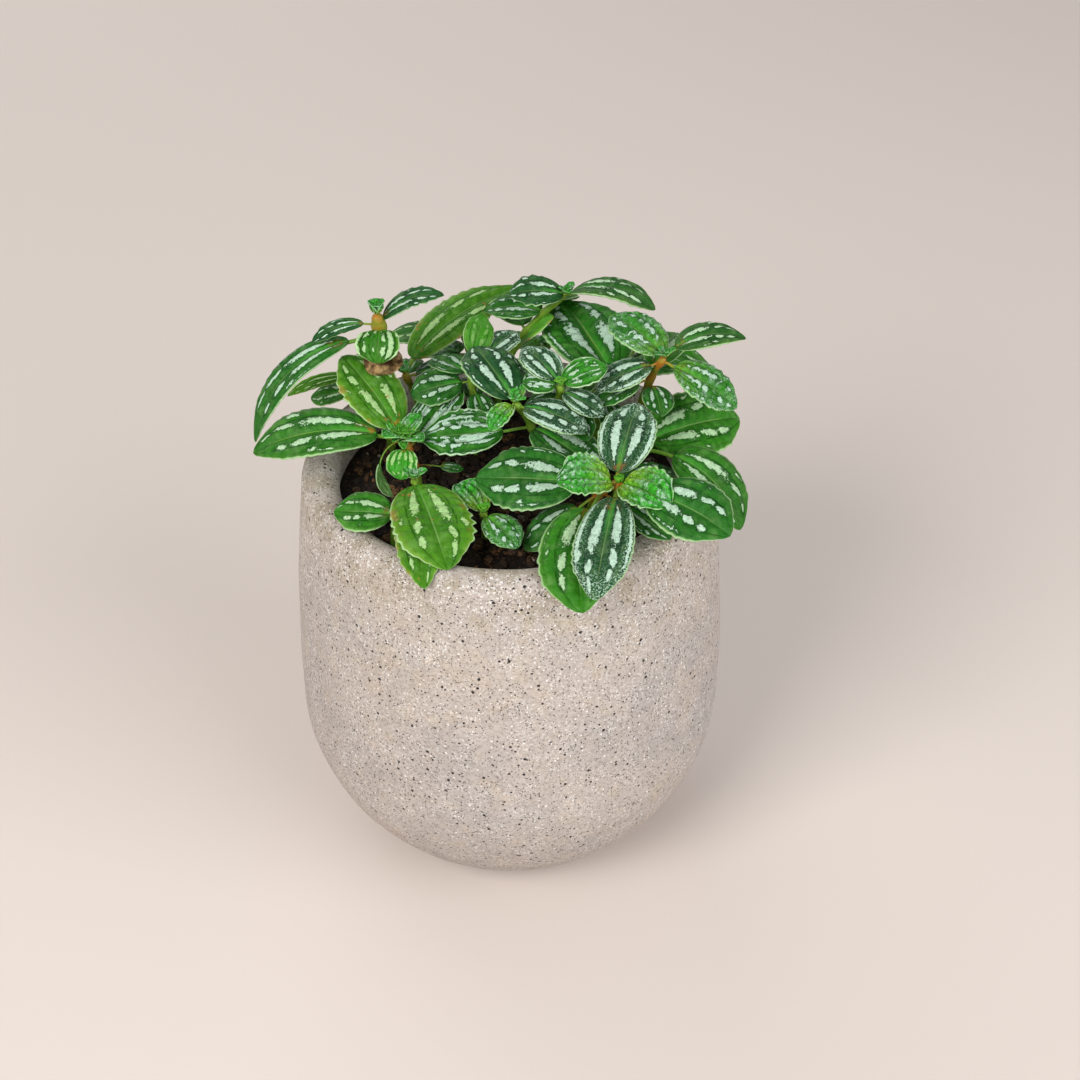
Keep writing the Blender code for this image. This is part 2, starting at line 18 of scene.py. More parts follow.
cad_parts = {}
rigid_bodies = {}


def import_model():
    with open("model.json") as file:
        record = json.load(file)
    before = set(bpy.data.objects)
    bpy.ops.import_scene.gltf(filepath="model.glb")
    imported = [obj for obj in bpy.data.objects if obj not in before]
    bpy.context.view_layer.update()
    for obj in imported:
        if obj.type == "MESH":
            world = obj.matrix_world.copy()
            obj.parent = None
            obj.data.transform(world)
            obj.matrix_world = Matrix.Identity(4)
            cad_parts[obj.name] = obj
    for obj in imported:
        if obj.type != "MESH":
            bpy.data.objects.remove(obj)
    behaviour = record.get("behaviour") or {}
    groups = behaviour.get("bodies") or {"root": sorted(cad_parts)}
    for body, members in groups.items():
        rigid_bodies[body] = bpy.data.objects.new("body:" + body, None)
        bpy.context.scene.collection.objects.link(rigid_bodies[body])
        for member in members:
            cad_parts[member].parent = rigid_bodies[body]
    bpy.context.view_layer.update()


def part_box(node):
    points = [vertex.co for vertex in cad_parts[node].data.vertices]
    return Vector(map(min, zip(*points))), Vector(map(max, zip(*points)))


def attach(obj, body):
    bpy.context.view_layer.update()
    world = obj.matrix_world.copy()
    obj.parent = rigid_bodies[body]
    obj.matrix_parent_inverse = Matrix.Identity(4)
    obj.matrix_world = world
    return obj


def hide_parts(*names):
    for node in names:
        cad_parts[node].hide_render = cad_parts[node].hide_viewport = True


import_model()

bl_info = {
    "name": "Potted Aluminium Plant",
    "version": (1, 0, 0),
    "blender": (4, 5, 0),
    "location": "View3D > Sidebar > Potted Plant",
    "description": "Builds a cement pot, its soil and leafy shoots with silver-patched leaves",
    "category": "Add Mesh",
}

BODY = "root"
POT_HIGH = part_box("pot")[1]
SOIL_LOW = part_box("soil")[0]
WELD = 0.000002
UP = Vector((0, 0, 1))

# Stems
SOIL_LEVEL = POT_HIGH.z - 0.010
STEM_DEPTH = 0.012
STEM_BEND = 0.6
STEM_TOP_RADIUS = 0.0009
STOUT_TOP_RADIUS = 0.0018

# Leaf form, as shares of the blade's own length or half width
MARGIN_RISE = 0.02
YOUNG_FOLD = 0.22
TIP_SHARE = 0.76
TIP_PINCH = 0.40
SWAY = 0.09
SWAY_TURN = 2.4
SIDE_VEIN = 0.57
RIBS = 2.5

Leaf = namedtuple("Leaf", "drop heading pitch blade petiole width bend roll sway look")
Shoot = namedtuple("Shoot", "name root crown redness leaves top")
Look = namedtuple("Look", "tone silver crinkle age tooth fold ridge ribbed", defaults=(0.0, 0.04, 0.0))
Bud = namedtuple("Bud", "look count large small width low high bend")

# A look's row: tone from blackish to bright, silver, crinkle, age and tooth depth. Where they differ from
# the usual, the fold along the midrib, the ridges between the veins, and how ribbed the blade is follow.
LOOKS = {
    "dark": Look(0, 1, 0.42, 0, 0.8),
    "night": Look(0, 0.76, 0.42, 0, 0.8),
    "toothed": Look(0.1, 0.7, 0.55, 0, 2.2),
    "deep": Look(0.3, 0.7, 0.42, 0, 0.8),
    "grey": Look(0.12, 0.55, 0.42, 0.15, 1, 0, 0.06),
    "broad": Look(0.4, 0.75, 0.4, 0, 0.6),
    "striped": Look(0.36, 0.55, 0.4, 0.1, 0.6, 0, 0.05),
    "plain": Look(0.62, 0.12, 0.2, 0.25, 0.7),
    "dull": Look(0.22, 0.35, 0.2, 0.12, 0.8),
    "green": Look(0.5, 0.5, 0.42, 0.1, 0.7),
    "ribbed": Look(0.42, 0.75, 0.45, 0, 0.9, 0, 0.16, 0.8),
    "bell": Look(0.55, 0.45, 0.3, 0.2, 0.6, 0, 0.16, 1),
    "cup": Look(0.85, 0.3, 0.3, 0.1, 1.2, 0, 0.18, 1),
    "pleated": Look(0.66, 0.6, 0.6, 0, 1.2, 0, 0.14, 0.9),
    "fresh": Look(0.62, 0.88, 0.72, 0, 1.3, 0, 0.07),
    "young": Look(0.95, 0.8, 1, 0, 1.4, YOUNG_FOLD, 0.12, 0.6),
    "bristly": Look(1, 0.13, 1, 0.3, 2.5, YOUNG_FOLD, 0.12, 0.6),
    "budding": Look(0.9, 0, 0.6, 0.45, 0.4, YOUNG_FOLD, 0.08, 0.6),
    "olive": Look(0.5, 0.34, 0.42, 0.55, 1.3, 0, 0.03),
    "lime": Look(1, 0, 0.15, 0.7, 0.6, 0, 0.02),
    "withered": Look(0.5, 0, 1, 2, 0.5, 0.3),
}

# Pot, soil, stem and leaf stalk form
FOOT_BEVEL = 0.0015
BOWL_FULLNESS = 2.1
BOWL_SOFTNESS = 1.2
BOWL_STEPS = 44
NECK_STEPS = 40
LIP_STEPS = 20
POT_SIDES = 220
DRAIN_RADIUS = 0.0035
DRAIN_CIRCLE = 0.015
DRAIN_COUNT = 3
DRAIN_FIRST_TURN = 30
DRAIN_SIDES = 40
SHARP_ANGLE = 40
DENT_SIZE = 0.020
DENT_DEPTH = 0.0006
DENT_FREE_RADIUS = 0.020
GRAIN_SIZE = 0.0018
GRAIN_DEPTH = 0.00008
SOIL_GAP = 0.00045
SOIL_DOME = 0.0015
SOIL_RINGS = 80
SOIL_SIDES = 320
EDGE_FADE = 0.003
CLOD_SIZE = 0.012
CLOD_RISE = 0.0012
CRUMB_SIZE = 0.0028
CRUMB_RISE = 0.0012
SOIL_GRAIN_SIZE = 0.0011
SOIL_GRAIN_RISE = 0.0003
CRACK_DEPTH = 0.3
CRUMB_SEED = 11
CRUMB_LUMP = 0.35
CRUMB_LUMP_RATE = 1.3
CRUMB_SHIFT = 99
CRUMB_BREADTH = (0.7, 1.2)
CRUMB_HEIGHT = (0.55, 0.9)
CRUMB_SPREAD = (0.8, 1.2)
CRUMB_LIFT = 0.3
HANDFUL = 50
CRUMB_SIZES = (0.6, 0.8, 1.0, 1.3, 1.8)
FINER_CRUMB = 0.0010
STEM_RADIUS = 0.0013
STEM_STEPS = 60
STEM_TIP = 0.03
STEM_STRIDE = 0.01
NODE_LENGTH = 0.0011
NODE_SWELL = 0.35
BLUSH_REACH = 0.0032
PETIOLE_RADIUS = 0.0006
STALK_STEPS = 36
STALK_SINK = 1.2
STALK_SLIMMEST = 0.3
STALK_TIP = 1 / 30
MIDRIB_REACH = 0.93
MIDRIB_TAPER = 0.75
TUBE_SIDES = 10
BUD_FIRST_TURN = 90
BUD_STALK = 1 / 8
GOLDEN_ANGLE = 137.5
BIG_BLADE = 0.030
LEAST_COLUMNS = 14
LEAST_ROWS = 12

# Leaf relief, as shares of the half width, but for the spacing of the cross veins
ARCH_SHARE = 0.75
OUTER_FOLD = 0.7
PUCKER = 0.09
RIPPLE = 0.03
FINE_RIPPLE = 0.5
WITHER = 0.60
LADDER_SPACING = 0.0030
LADDER_SLANT = 0.8
YOUNG_CRINKLE = 0.6
YOUNG_RUNGS = 0.6
RUNG_STRAY = 0.9
YOUNG_FINER = 0.35
COMB_STRETCH = 0.3
TOOTH_CREST = 0.75
TOOTH_START = 0.20
TOOTH_FULL = 0.55
TOOTH_UNEVEN = 0.9
TOOTH_REACH = 6
MARGIN_WAVE = 0.05

# Rates of the noise along and across a blade, and the strides that give each tooth, flank and blade its own
MARGIN_RATE = (3.5, 5.3)
RUNG_RATE = (4, 5)
RIPPLE_RATE = (3, 1.6)
FINE_RIPPLE_RATE = (8, 3)
TOOTH_STRIDE = 1.37
FLANK_STRIDE = 9.1
FLANK_SHIFT = 0.37
BLADE_STRIDE = 1e3
SEED_STRIDE = (31, 17)
FINE_SEED_STRIDE = (13, 7)
SEEDS = 64
LEAF_STRIDE = 23
ROOT_STRIDE = (1e4, 3)

# Specks and crevices, as shares of their spacing
STIRS_PER_SPECK = 4
STIR = 0.16
SPECK_SPREAD = 1.2
SPECK_SMALLEST = 0.4
SPECK_EDGE = (1.1, 0.85)
CREVICE_WIDTH = 0.16

# Stage: each light's setting, place, size and colour
FLOOR_REACH = 4.0
LIGHT_AIM = (0.0, 0.0, 0.09)
LIGHTS = (
    ("key", (-0.68, -0.92, 0.95), 0.7, (1.0, 0.985, 0.96)),
    ("fill", (0.95, -0.80, 0.68), 1.1, (0.96, 0.98, 1.0)),
    ("back", (-0.55, 1.15, 0.90), 1.2, (1.0, 1.0, 1.0)),
)
SENSOR_WIDTH = 36.0


def a_length(name, description, default):
    """A length property."""
    return FloatProperty(name=name, description=description, default=default, unit="LENGTH")


def a_power(name, description, default):
    """A light's power property."""
    return FloatProperty(name=name, description=description, default=default, unit="POWER")


def a_share(name, description, default):
    """A property that is a share or a strength."""
    return FloatProperty(name=name, description=description, default=default)


def a_colour(name, description, *default):
    """A colour property, from its red, green and blue."""
    return FloatVectorProperty(name=name, description=description, default=default, subtype="COLOR")


class PotSettings(bpy.types.PropertyGroup):
    """Sizes and colours of the cement pot."""

    height: a_length("Height", "Height of the pot", POT_HIGH.z)
    belly_radius: a_length("Belly radius", "Radius at the pot's widest height", POT_HIGH.x)
    belly_height: a_length("Belly height", "Height at which the pot is widest", 0.054)
    rim_radius: a_length("Rim radius", "Outer radius of the lip", 0.0605)
    foot_radius: a_length("Foot radius", "Radius of the flat foot", 0.032)
    wall: a_length("Wall", "Thickness of the cement wall", 0.011)
    floor: a_length("Floor", "Thickness of the pot's floor", 0.014)
    speck: a_length("Speck spacing", "Spacing of the larger dark specks", 0.0020)
    cement: a_colour("Cement", "Main colour of the cement", 0.505, 0.440, 0.398)
    cement_warm: a_colour("Warm cement", "Colour of the cement's warmer clouds", 0.530, 0.450, 0.368)
    cement_cool: a_colour("Cool cement", "Colour of the cement's greyer clouds", 0.455, 0.410, 0.385)
    fleck: a_colour("Flecks", "Colour of the pale flecks", 0.90, 0.88, 0.86)
    grit: a_colour("Grit", "Colour of the dark specks", 0.018, 0.017, 0.018)


class SoilSettings(bpy.types.PropertyGroup):
    """Sizes and colours of the potting soil."""

    crumb: a_length("Crumb size", "Size of a usual crumb", 0.0016)
    crumbs: IntProperty(name="Crumbs", description="How many loose crumbs lie on the soil", default=2000)
    earth: a_colour("Earth", "Colour of the damp soil", 0.018, 0.011, 0.007)
    crumb_brown: a_colour("Brown crumbs", "Colour of the drier crumbs", 0.25, 0.120, 0.045)
    crumb_pale: a_colour("Pale crumbs", "Colour of the few pale crumbs", 0.42, 0.34, 0.26)


class LeafSettings(bpy.types.PropertyGroup):
    """Form and colours of the leaves and stems."""

    cell: a_length("Mesh cell", "Size of the blade mesh's cells", 0.00055)
    thickness: a_length("Thickness", "Thickness of a blade", 0.00035)
    tooth_spacing: a_length("Tooth spacing", "Distance from tooth to tooth", 0.0028)
    tooth_depth: a_share("Tooth depth", "Depth of a tooth as a share of the half width", 0.075)
    quilt: a_share("Quilting", "Rise of the quilting as a share of the half width", 0.13)
    deep_green: a_colour("Deep green", "Ground of the darkest blades", 0.019, 0.085, 0.026)
    green: a_colour("Green", "Ground of the full-grown blades", 0.032, 0.205, 0.012)
    fresh_green: a_colour("Fresh green", "Ground of the young blades", 0.075, 0.520, 0.035)
    old_green: a_colour("Old green", "Tint of the ageing blades", 0.105, 0.255, 0.012)
    margin_yellow: a_colour("Yellowed margin", "Margin of the ageing blades", 0.32, 0.48, 0.03)
    silver: a_colour("Silver", "Silver patches", 0.49, 0.68, 0.53)
    pale_green: a_colour("Pale green", "Dull patches, margins and undersides", 0.50, 0.76, 0.28)
    stem_green: a_colour("Stem green", "Stems and leaf stalks", 0.15, 0.33, 0.030)
    stem_red: a_colour("Stem red", "Stems where the leaves join them", 0.50, 0.10, 0.015)
    rust: a_colour("Rust", "Blotches by an old blade's margin", 0.36, 0.15, 0.04)
    brown: a_colour("Brown", "Folds of the withered blades", 0.060, 0.028, 0.012)
    tan: a_colour("Tan", "Dry skin of the withered blades", 0.42, 0.27, 0.12)


class StudioSettings(bpy.types.PropertyGroup):
    """The floor, the lights and the camera."""

    floor: a_colour("Floor", "Colour of the floor", 0.71, 0.63, 0.58)
    key: a_power("Key light", "Power of the large light", 15.2)
    fill: a_power("Fill light", "Power of the light opposite", 12.8)
    back: a_power("Back light", "Power of the light behind", 6.0)
    sky: a_share("Sky light", "Strength of the even light all round", 0.36)
    lens: FloatProperty(name="Lens", description="Focal length in millimetres", default=63.3)
    tilt: FloatProperty(name="Tilt", description="How far the camera looks down",
                        default=math.radians(36.55), subtype="ANGLE")
    place: FloatVectorProperty(name="Camera", description="Where the camera stands", subtype="XYZ",
                               default=(0.0092, -0.4567, 0.4422))


class PlantSettings(bpy.types.PropertyGroup):
    """All the settings of the potted plant."""

    pot: PointerProperty(type=PotSettings)
    soil: PointerProperty(type=SoilSettings)
    leaf: PointerProperty(type=LeafSettings)
    studio: PointerProperty(type=StudioSettings)


def joined(operation, flipped=False):
    """A method that joins a value and another by a Math node."""
    def join(self, other):
        return self.board.math(operation, *((other, self) if flipped else (self, other)))

    return join


class Value:
    """A node's output that can stand in a sum with numbers and other outputs."""

    __add__ = __radd__ = joined("ADD")
    __sub__ = joined("SUBTRACT")
    __rsub__ = joined("SUBTRACT", flipped=True)
    __mul__ = __rmul__ = joined("MULTIPLY")
    __truediv__ = joined("DIVIDE")
    __pow__ = joined("POWER")
    least = joined("MINIMUM")
    most = joined("MAXIMUM")

    def __init__(self, board, socket):
        self.board = board
        self.socket = socket

    def __abs__(self):
        return self.board.math("ABSOLUTE", self)

    def rise(self, low, high):
        """Goes smoothly from 0 at low to 1 at high, or down where high is below low."""
        if high < low:
            return 1 - self.rise(high, low)
        return self.board.node("ShaderNodeMapRange", (self, low, high), interpolation_type="SMOOTHSTEP")


class Board:
    """A material's nodes, which one method makes, and its colour, which is painted in layers."""

    def __init__(self, name, colour, roughness=0.5, **constants):
        self.colour = colour
        self.material = bpy.data.materials.new(name)
        self.material.use_nodes = True
        self.nodes = self.material.node_tree.nodes
        self.links = self.material.node_tree.links
        self.shader = self.nodes["Principled BSDF"]
        self.shader.inputs["Roughness"].default_value = roughness
        for socket, value in constants.items():
            self.shader.inputs[socket.replace("_", " ")].default_value = value

    def node(self, kind, values=(), output=0, **settings):
        """Makes a node: its settings first, then the numbers or links of its inputs, by place or by name."""
        made = self.nodes.new(kind)
        for setting, value in settings.items():
            setattr(made, setting, value)
        for place, value in values.items() if isinstance(values, dict) else enumerate(values):
            self.feed(made.inputs[place], value)
        return Value(self, made.outputs[output])

    def feed(self, socket, value):
        """Gives an input its number, colour or link."""
        if isinstance(value, Value):
            self.links.new(value.socket, socket)
        else:
            opaque = socket.type == "RGBA" and len(value) == 3
            socket.default_value = (*value, 1.0) if opaque else value

    def math(self, operation, *values):
        return self.node("ShaderNodeMath", values, operation=operation)

    def mix(self, share, first, second, blend="MIX"):
        """A colour between two others, or multiplied by the second."""
        return self.node("ShaderNodeMix", {0: share, 6: first, 7: second}, output=2, data_type="RGBA",
                         blend_type=blend)

    def paint(self, share, colour):
        """Lays a share of a colour over the board's colour."""
        self.colour = self.mix(share, self.colour, colour)

    def shade(self, share, tint):
        """Multiplies the board's colour by a share of a tint."""
        self.colour = self.mix(share, self.colour, tint, "MULTIPLY")

    def place(self):
        return self.node("ShaderNodeTexCoord", output="Object")

    def noise(self, size, detail=2.0, at=None, distortion=0.0):
        """Soft noise about 0.5, with clouds of about this size in metres."""
        return self.node("ShaderNodeTexNoise", {"Vector": at or self.place(), "Scale": 1 / size,
                                                "Detail": detail, "Distortion": distortion})

    def split(self, vector):
        """The three numbers of a vector or colour."""
        parts = self.node("ShaderNodeSeparateXYZ", (vector,)).socket.node
        return [Value(self, socket) for socket in parts.outputs]

    def attribute(self, name):
        """The three numbers of a vector attribute."""
        return self.split(self.node("ShaderNodeAttribute", output="Vector", attribute_name=name))

    def finish(self, roughness=None, height=None, distance=0.0005):
        """Feeds the shader, with the relief through a Bump node."""
        self.feed(self.shader.inputs["Base Color"], self.colour)
        if roughness is not None:
            self.feed(self.shader.inputs["Roughness"], roughness)
        if height is not None:
            bump = self.node("ShaderNodeBump", {"Height": height, "Distance": distance, "Strength": 1.0})
            self.feed(self.shader.inputs["Normal"], bump)
        return self.material


def in_metres(*lengths):
    """Lengths in metres, from millimetres."""
    return [length / 1000 for length in lengths]


def new_leaf(look, drop, heading, pitch, blade, petiole, width, bend, roll=0, sway=None):
    """One leaf, from its drop below the crown and its sizes in millimetres, and its angles in degrees."""
    drop, blade, petiole, width = in_metres(drop, blade, petiole, width)
    return Leaf(drop, heading, pitch, blade, petiole, width, bend, roll, sway, LOOKS[look])


def new_shoot(name, root, crown, redness, *rows, top=STEM_TOP_RADIUS):
    """One shoot, from its foot and its crown in millimetres and a row for each leaf."""
    return Shoot(name, in_metres(*root), in_metres(*crown), redness, [new_leaf(*row) for row in rows], top)


# A leaf's row: look, drop below the crown, heading, slope, blade, stalk and width, then bend, roll and sway
SHOOTS = (
    new_shoot("shoot_front_right", (22, -24), (30.5, -34, 148), 0.9,
        ("young", 0, 320, 0, 16, 1.5, 14, 30, 16),
        ("young", 0, 196, 8, 15, 2.2, 15.4, 24, -13, -0.11),
        ("dark", 1.5, 74, 24, 24, 3.5, 16, 30, 0, 0),
        ("dark", 0, 257, -20, 32.8, 5.2, 16.1, 18, 0, 0.02),
        ("deep", 3, 168, -5, 29.5, 9, 21, 12, -24),
        ("deep", 3, 327, -1, 26.2, 12.5, 20, 40, 16),
        ("green", 6.5, 243, -19, 30.9, 8.7, 22.7, 39, -3, 0.3),
        ("deep", 9, 212, -26, 19, 7, 13, 30),
        ("deep", 8, 318, -10, 16, 9, 11, 24),
        ("deep", 10, 35, -5, 18, 10, 12, 30)),
    new_shoot("shoot_right", (31, -10), (39, -6, 143), 0.1,
        ("green", 1, 26, 0, 30, 2.5, 22.5, 30, 24),
        ("striped", 3, 338, -24, 29.2, 11.3, 18, 88, 15, -0.14),
        ("green", 3, 100, 10, 16, 3, 8.96, 40),
        ("green", 5.5, 50, -5, 23, 4, 12.88, 40)),
    new_shoot("shoot_back_right", (37, 14), (44.5, 6, 163.5), 0.9,
        ("fresh", 0, 134, 14, 20.8, 1.2, 16, 30),
        ("grey", 0, 24, 9, 20.5, 4.2, 11.3, 67, 7, -0.22),
        ("fresh", 2, 335, -25, 21.4, 4.1, 14.6, 33, 10, 0.06),
        ("dark", 3, 193, -17, 17.2, 2.8, 12.2, 30, -8),
        ("green", 10, 72, 0, 23, 4, 12.88, 45),
        ("deep", 23, 341, -9, 23, 5.5, 15, 40),
        ("deep", 11.5, 207, -8, 16, 4, 10.5, 34),
        ("deep", 12, 285, -8, 13, 3, 9, 30)),
    new_shoot("shoot_centre", (10, 0), (2, -6, 156), 0.1,
        ("young", 0, 228, -25, 10, 1, 7.2, 20),
        ("young", 0, 75, 14, 7, 1, 4.8, 20),
        ("night", 1, 127, 17, 22.5, 2, 17, 36),
        ("ribbed", 11.9, 195, -6, 22.5, 8.2, 15.8, 13, -20, -0.24),
        ("dark", 2, 339, -10, 20, 2, 14.8, 40),
        ("deep", 12, 319, -9, 27.2, 1.2, 17.8, 22)),
    new_shoot("shoot_centre_back", (14, 8), (15, -1, 158.5), 0.1,
        ("dark", 0, 130, 18, 15.2, 2, 11.8, 30),
        ("pleated", 0, 26, 13, 13.5, 1, 11.4, 16, 7, -0.1),
        ("ribbed", 1, 172, 5, 9.8, 1.3, 11.2, 33, -11, 0.05),
        ("dark", 3, 324, -15, 13.8, 1.5, 10.2, 30),
        ("green", 15, 65, 0, 18, 4, 10.08, 40),
        ("deep", 8, 300, -14, 15, 3, 10, 34),
        ("fresh", 3, 136, 6, 14, 2.7, 7.9, 20, 0, -0.08)),
    new_shoot("shoot_broad", (26, 24), (30.5, 19, 150), 0.1,
        ("broad", 0, 115, 10, 35, 1.2, 26.5, 22),
        ("green", 2, 20, -4, 22, 4, 12.32, 40),
        ("deep", 8, 200, -8, 22, 4, 12.32, 40),
        ("deep", 11, 285, -12, 17, 4, 9.52, 40)),
    new_shoot("shoot_back", (-4, 38), (17, 36, 167), 0.1,
        ("toothed", 0, 187, 4, 16.5, 1, 12.5, 34, -16),
        ("grey", 0, 335, -1, 27.5, 2.1, 13.2, 86, -3, 0.12),
        ("deep", 7.5, 158, -4, 17.2, 0.8, 13.1, 32, -8, 0.22),
        ("green", 4, 80, -28, 22, 3, 12.32, 45),
        ("lime", 20, 328, 46, 16, 1.8, 9, 15, 22, 0.06),
        ("green", 15, 110, -12, 20, 3, 11.2, 45)),
    new_shoot("shoot_back_left", (-26, 24), (-31, 22, 148.5), 0.5,
        ("olive", 0, 62, 16, 39.2, 5.5, 15.2, 22, 4, -0.36),
        ("green", 3, 88, -12, 15, 3, 8.4, 45),
        ("dark", 2, 15, 4, 18, 3, 11.5, 30)),
    new_shoot("shoot_inner", (-10, 16), (-11, 14, 156), 0.1,
        ("deep", 7, 193, -8, 15.5, 3, 14, 30, -16),
        ("plain", 0, 73, 26, 14.5, 3.5, 9.2, 20, 30),
        ("deep", 4.5, 139, -4, 14.5, 2.5, 10.5, 30),
        ("dark", 2, 45, 12, 15, 5.5, 10.8, 30),
        ("deep", 9, 288, -14, 10, 4, 8, 30),
        ("deep", 17, 95, -4, 16, 4, 8.96, 40)),
    new_shoot("shoot_tall_left", (-35.5, 19), (-37, 13, 173.5), 0.8,
        ("young", 0, 10, 62, 4.5, 0.5, 4.6, 20),
        ("young", 0, 190, 62, 4.5, 0.5, 4.6, 20),
        ("bell", 6.5, 272, -24, 10.8, 3.4, 12.5, 104, 2, -0.02),
        ("toothed", 5.5, 190, -8, 16.2, 4.5, 4.5, 64, -48, 0.07),
        ("toothed", 5, 4, 26, 20.2, 2.3, 7.5, 73, 16, -0.02),
        ("deep", 11, 189, -34, 42.1, 9.2, 11, 88, -19, 0.17),
        ("withered", 10, 277, -60, 9.2, 3, 11, 86, -4, 0.02), top=STOUT_TOP_RADIUS),
    new_shoot("shoot_left", (-26, -4), (-30, -4, 142.5), 1,
        ("young", 0, 45, 35, 8, 1, 6, 20),
        ("young", 0, 225, 30, 7.5, 1, 6, 20),
        ("young", 1, 135, 35, 8, 1, 6, 20),
        ("young", 1, 315, 25, 7.5, 1, 6, 20),
        ("cup", 2, 263, -38, 9.2, 2.2, 8.9, 58),
        ("striped", 1.8, 191, 1, 36.8, 8.8, 18.2, 66, -14),
        ("olive", 1, 130, 35, 26.5, 4.5, 18.5, 20),
        ("ribbed", 4, 52, 21, 23.5, 2.4, 13.6, 18, 0, 0),
        ("deep", 1, 210, -56, 9.6, 10.4, 4.5, 156, 52, 0.39),
        ("deep", 10, 352, -2, 7, 7.5, 4.8, 20)),
    new_shoot("shoot_front_left", (-24, -20), (-26, -22, 141), 0.1,
        ("olive", 0.6, 288, -11, 32.5, 2.6, 22.2, 30),
        ("olive", 4, 272, -10, 33.5, 5.5, 13, 40)),
    new_shoot("shoot_front_small", (-6, -27), (-6.5, -31, 136), 0.1,
        ("fresh", 0, 308, -11, 14.2, 2, 10.9, 27, 4),
        ("young", 1, 114, 9, 12.9, 1, 10.2, 32, 0, 0.16)),
    new_shoot("shoot_side_left", (-32, 28), (-40, 31, 140.5), 0.1,
        ("olive", 0, 177, -7, 19.8, 7.7, 4, 48, -49, 0.19),
        ("green", 2, 191, -17, 13.4, 9.2, 8.9, 35, -11, -0.36),
        ("green", 0, 100, -12, 23, 3, 12.88, 45),
        ("green", 5, 150, -16, 26, 4, 14.56, 50)),
    new_shoot("shoot_rear", (8, 44), (12, 50, 140.5), 0.1,
        ("green", 0, 65, -14, 24, 3, 13.44, 45),
        ("fresh", 0, 160, -8, 20, 3, 11.2, 40),
        ("deep", 3, 108, -22, 26, 5, 14.56, 50)),
    new_shoot("shoot_rear_left", (-10, 38), (-14, 42, 150), 0.1,
        ("green", 1, 95, -20, 24, 3, 13.44, 45),
        ("dull", 1, 172, -4, 22, 3, 13, 35),
        ("deep", 8, 135, -28, 28, 5, 15.68, 50)),
    new_shoot("shoot_rear_right", (30, 36), (38, 40, 147), 0.1,
        ("green", 1, 75, -16, 24, 3, 13.44, 45),
        ("green", 1, 5, -20, 24, 3, 13.44, 45),
        ("deep", 7, 120, -24, 26, 4, 14.56, 50),
        ("deep", 7, 35, -28, 28, 5, 15.68, 50),
        ("fresh", 11, 188, -2, 17, 4, 9.52, 40)),
    new_shoot("shoot_rim_left", (-31.5, -30), (-30.2, -32.2, 136.2), 0.9,
        ("green", 0, 174, -1, 16.6, 1.2, 15, 12, -12)),
)

# A bud: look, count, longest and shortest leaf, width as a share, lowest and highest slope, and bend
BUD = Bud("young", 5, 4.4, 2.6, 0.62, 36, 66, 36)
BUDS = {
    "shoot_front_right": Bud("budding", 6, 2.6, 2.2, 0.8, 58, 80, 60),
    "shoot_left": Bud("bristly", 26, 6.2, 2.8, 0.42, 4, 76, 56),
    "shoot_tall_left": Bud("young", 4, 4.2, 3.6, 0.9, 60, 66, 50),
    "shoot_centre_back": Bud("budding", 5, 3, 2.4, 0.7, 50, 75, 50),
    "shoot_front_small": Bud("budding", 5, 3.2, 2.4, 0.7, 50, 75, 50),
    "shoot_rim_left": Bud("young", 2, 2.2, 2, 0.6, 20, 40, 36),
}


def finished_mesh(name, shape, materials=()):
    """A mesh from a finished bmesh."""
    mesh = bpy.data.meshes.new(name)
    shape.to_mesh(mesh)
    shape.free()
    for material in materials:
        mesh.materials.append(material)
    return mesh


def new_object(name, data):
    """An object in the scene."""
    made = bpy.data.objects.new(name, data)
    bpy.context.scene.collection.objects.link(made)
    return made


def new_piece(name, shape, materials, node):
    """Turns a finished bmesh into a smooth piece that stands for a node of the frame."""
    mesh = finished_mesh(name, shape, materials)
    mesh.shade_smooth()
    piece = new_object(name, mesh)
    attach(piece, BODY)
    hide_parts(node)
    return piece


def bent_grid(shape, columns, rows, place):
    """Adds a grid bent to a form: place(u, v) gives the point for its two shares, from 0 to 1."""
    made = bmesh.ops.create_grid(shape, x_segments=columns, y_segments=rows, size=0.5, calc_uvs=True)
    for vert in made["verts"]:
        vert.co = place(vert.co.x + 0.5, vert.co.y + 0.5)
    return made["verts"]


def wave(*place):
    """Smooth noise from -1 to 1 at a place given by three numbers."""
    return noise.noise(Vector(place))


def turned(outline, steps):
    """A closed shape turned round the upright axis from its outline of (radius, height) points."""
    shape = bmesh.new()
    profile = [shape.verts.new((radius, 0.0, height)) for radius, height in outline]
    edges = [shape.edges.new(pair) for pair in zip(profile, profile[1:])]
    bmesh.ops.spin(shape, geom=profile + edges, cent=(0, 0, 0), axis=(0, 0, 1), angle=math.tau,
                   steps=steps, use_merge=True)
    bmesh.ops.remove_doubles(shape, verts=shape.verts, dist=WELD)
    bmesh.ops.recalc_face_normals(shape, faces=shape.faces)
    return shape


def bowl_radius(pot, height):
    """Outer radius of the pot's bowl, from the flat foot up to the belly."""
    share = (pot.belly_height - height) / pot.belly_height
    fullness = max(1.0 - share ** BOWL_FULLNESS, 0.0) ** (1.0 / BOWL_SOFTNESS)
    return pot.foot_radius + (pot.belly_radius - pot.foot_radius) * fullness


def outer_radius(pot, height):
    """Outer radius of the pot at any height below its lip."""
    if height < pot.belly_height:
        return bowl_radius(pot, height)
    share = (height - pot.belly_height) / (pot.height - pot.wall / 2 - pot.belly_height)
    return pot.belly_radius - (pot.belly_radius - pot.rim_radius) * share ** 2


def inner_radius(pot, height):
    """Inner radius of the pot's wall at any height below its lip."""
    return outer_radius(pot, height) - pot.wall


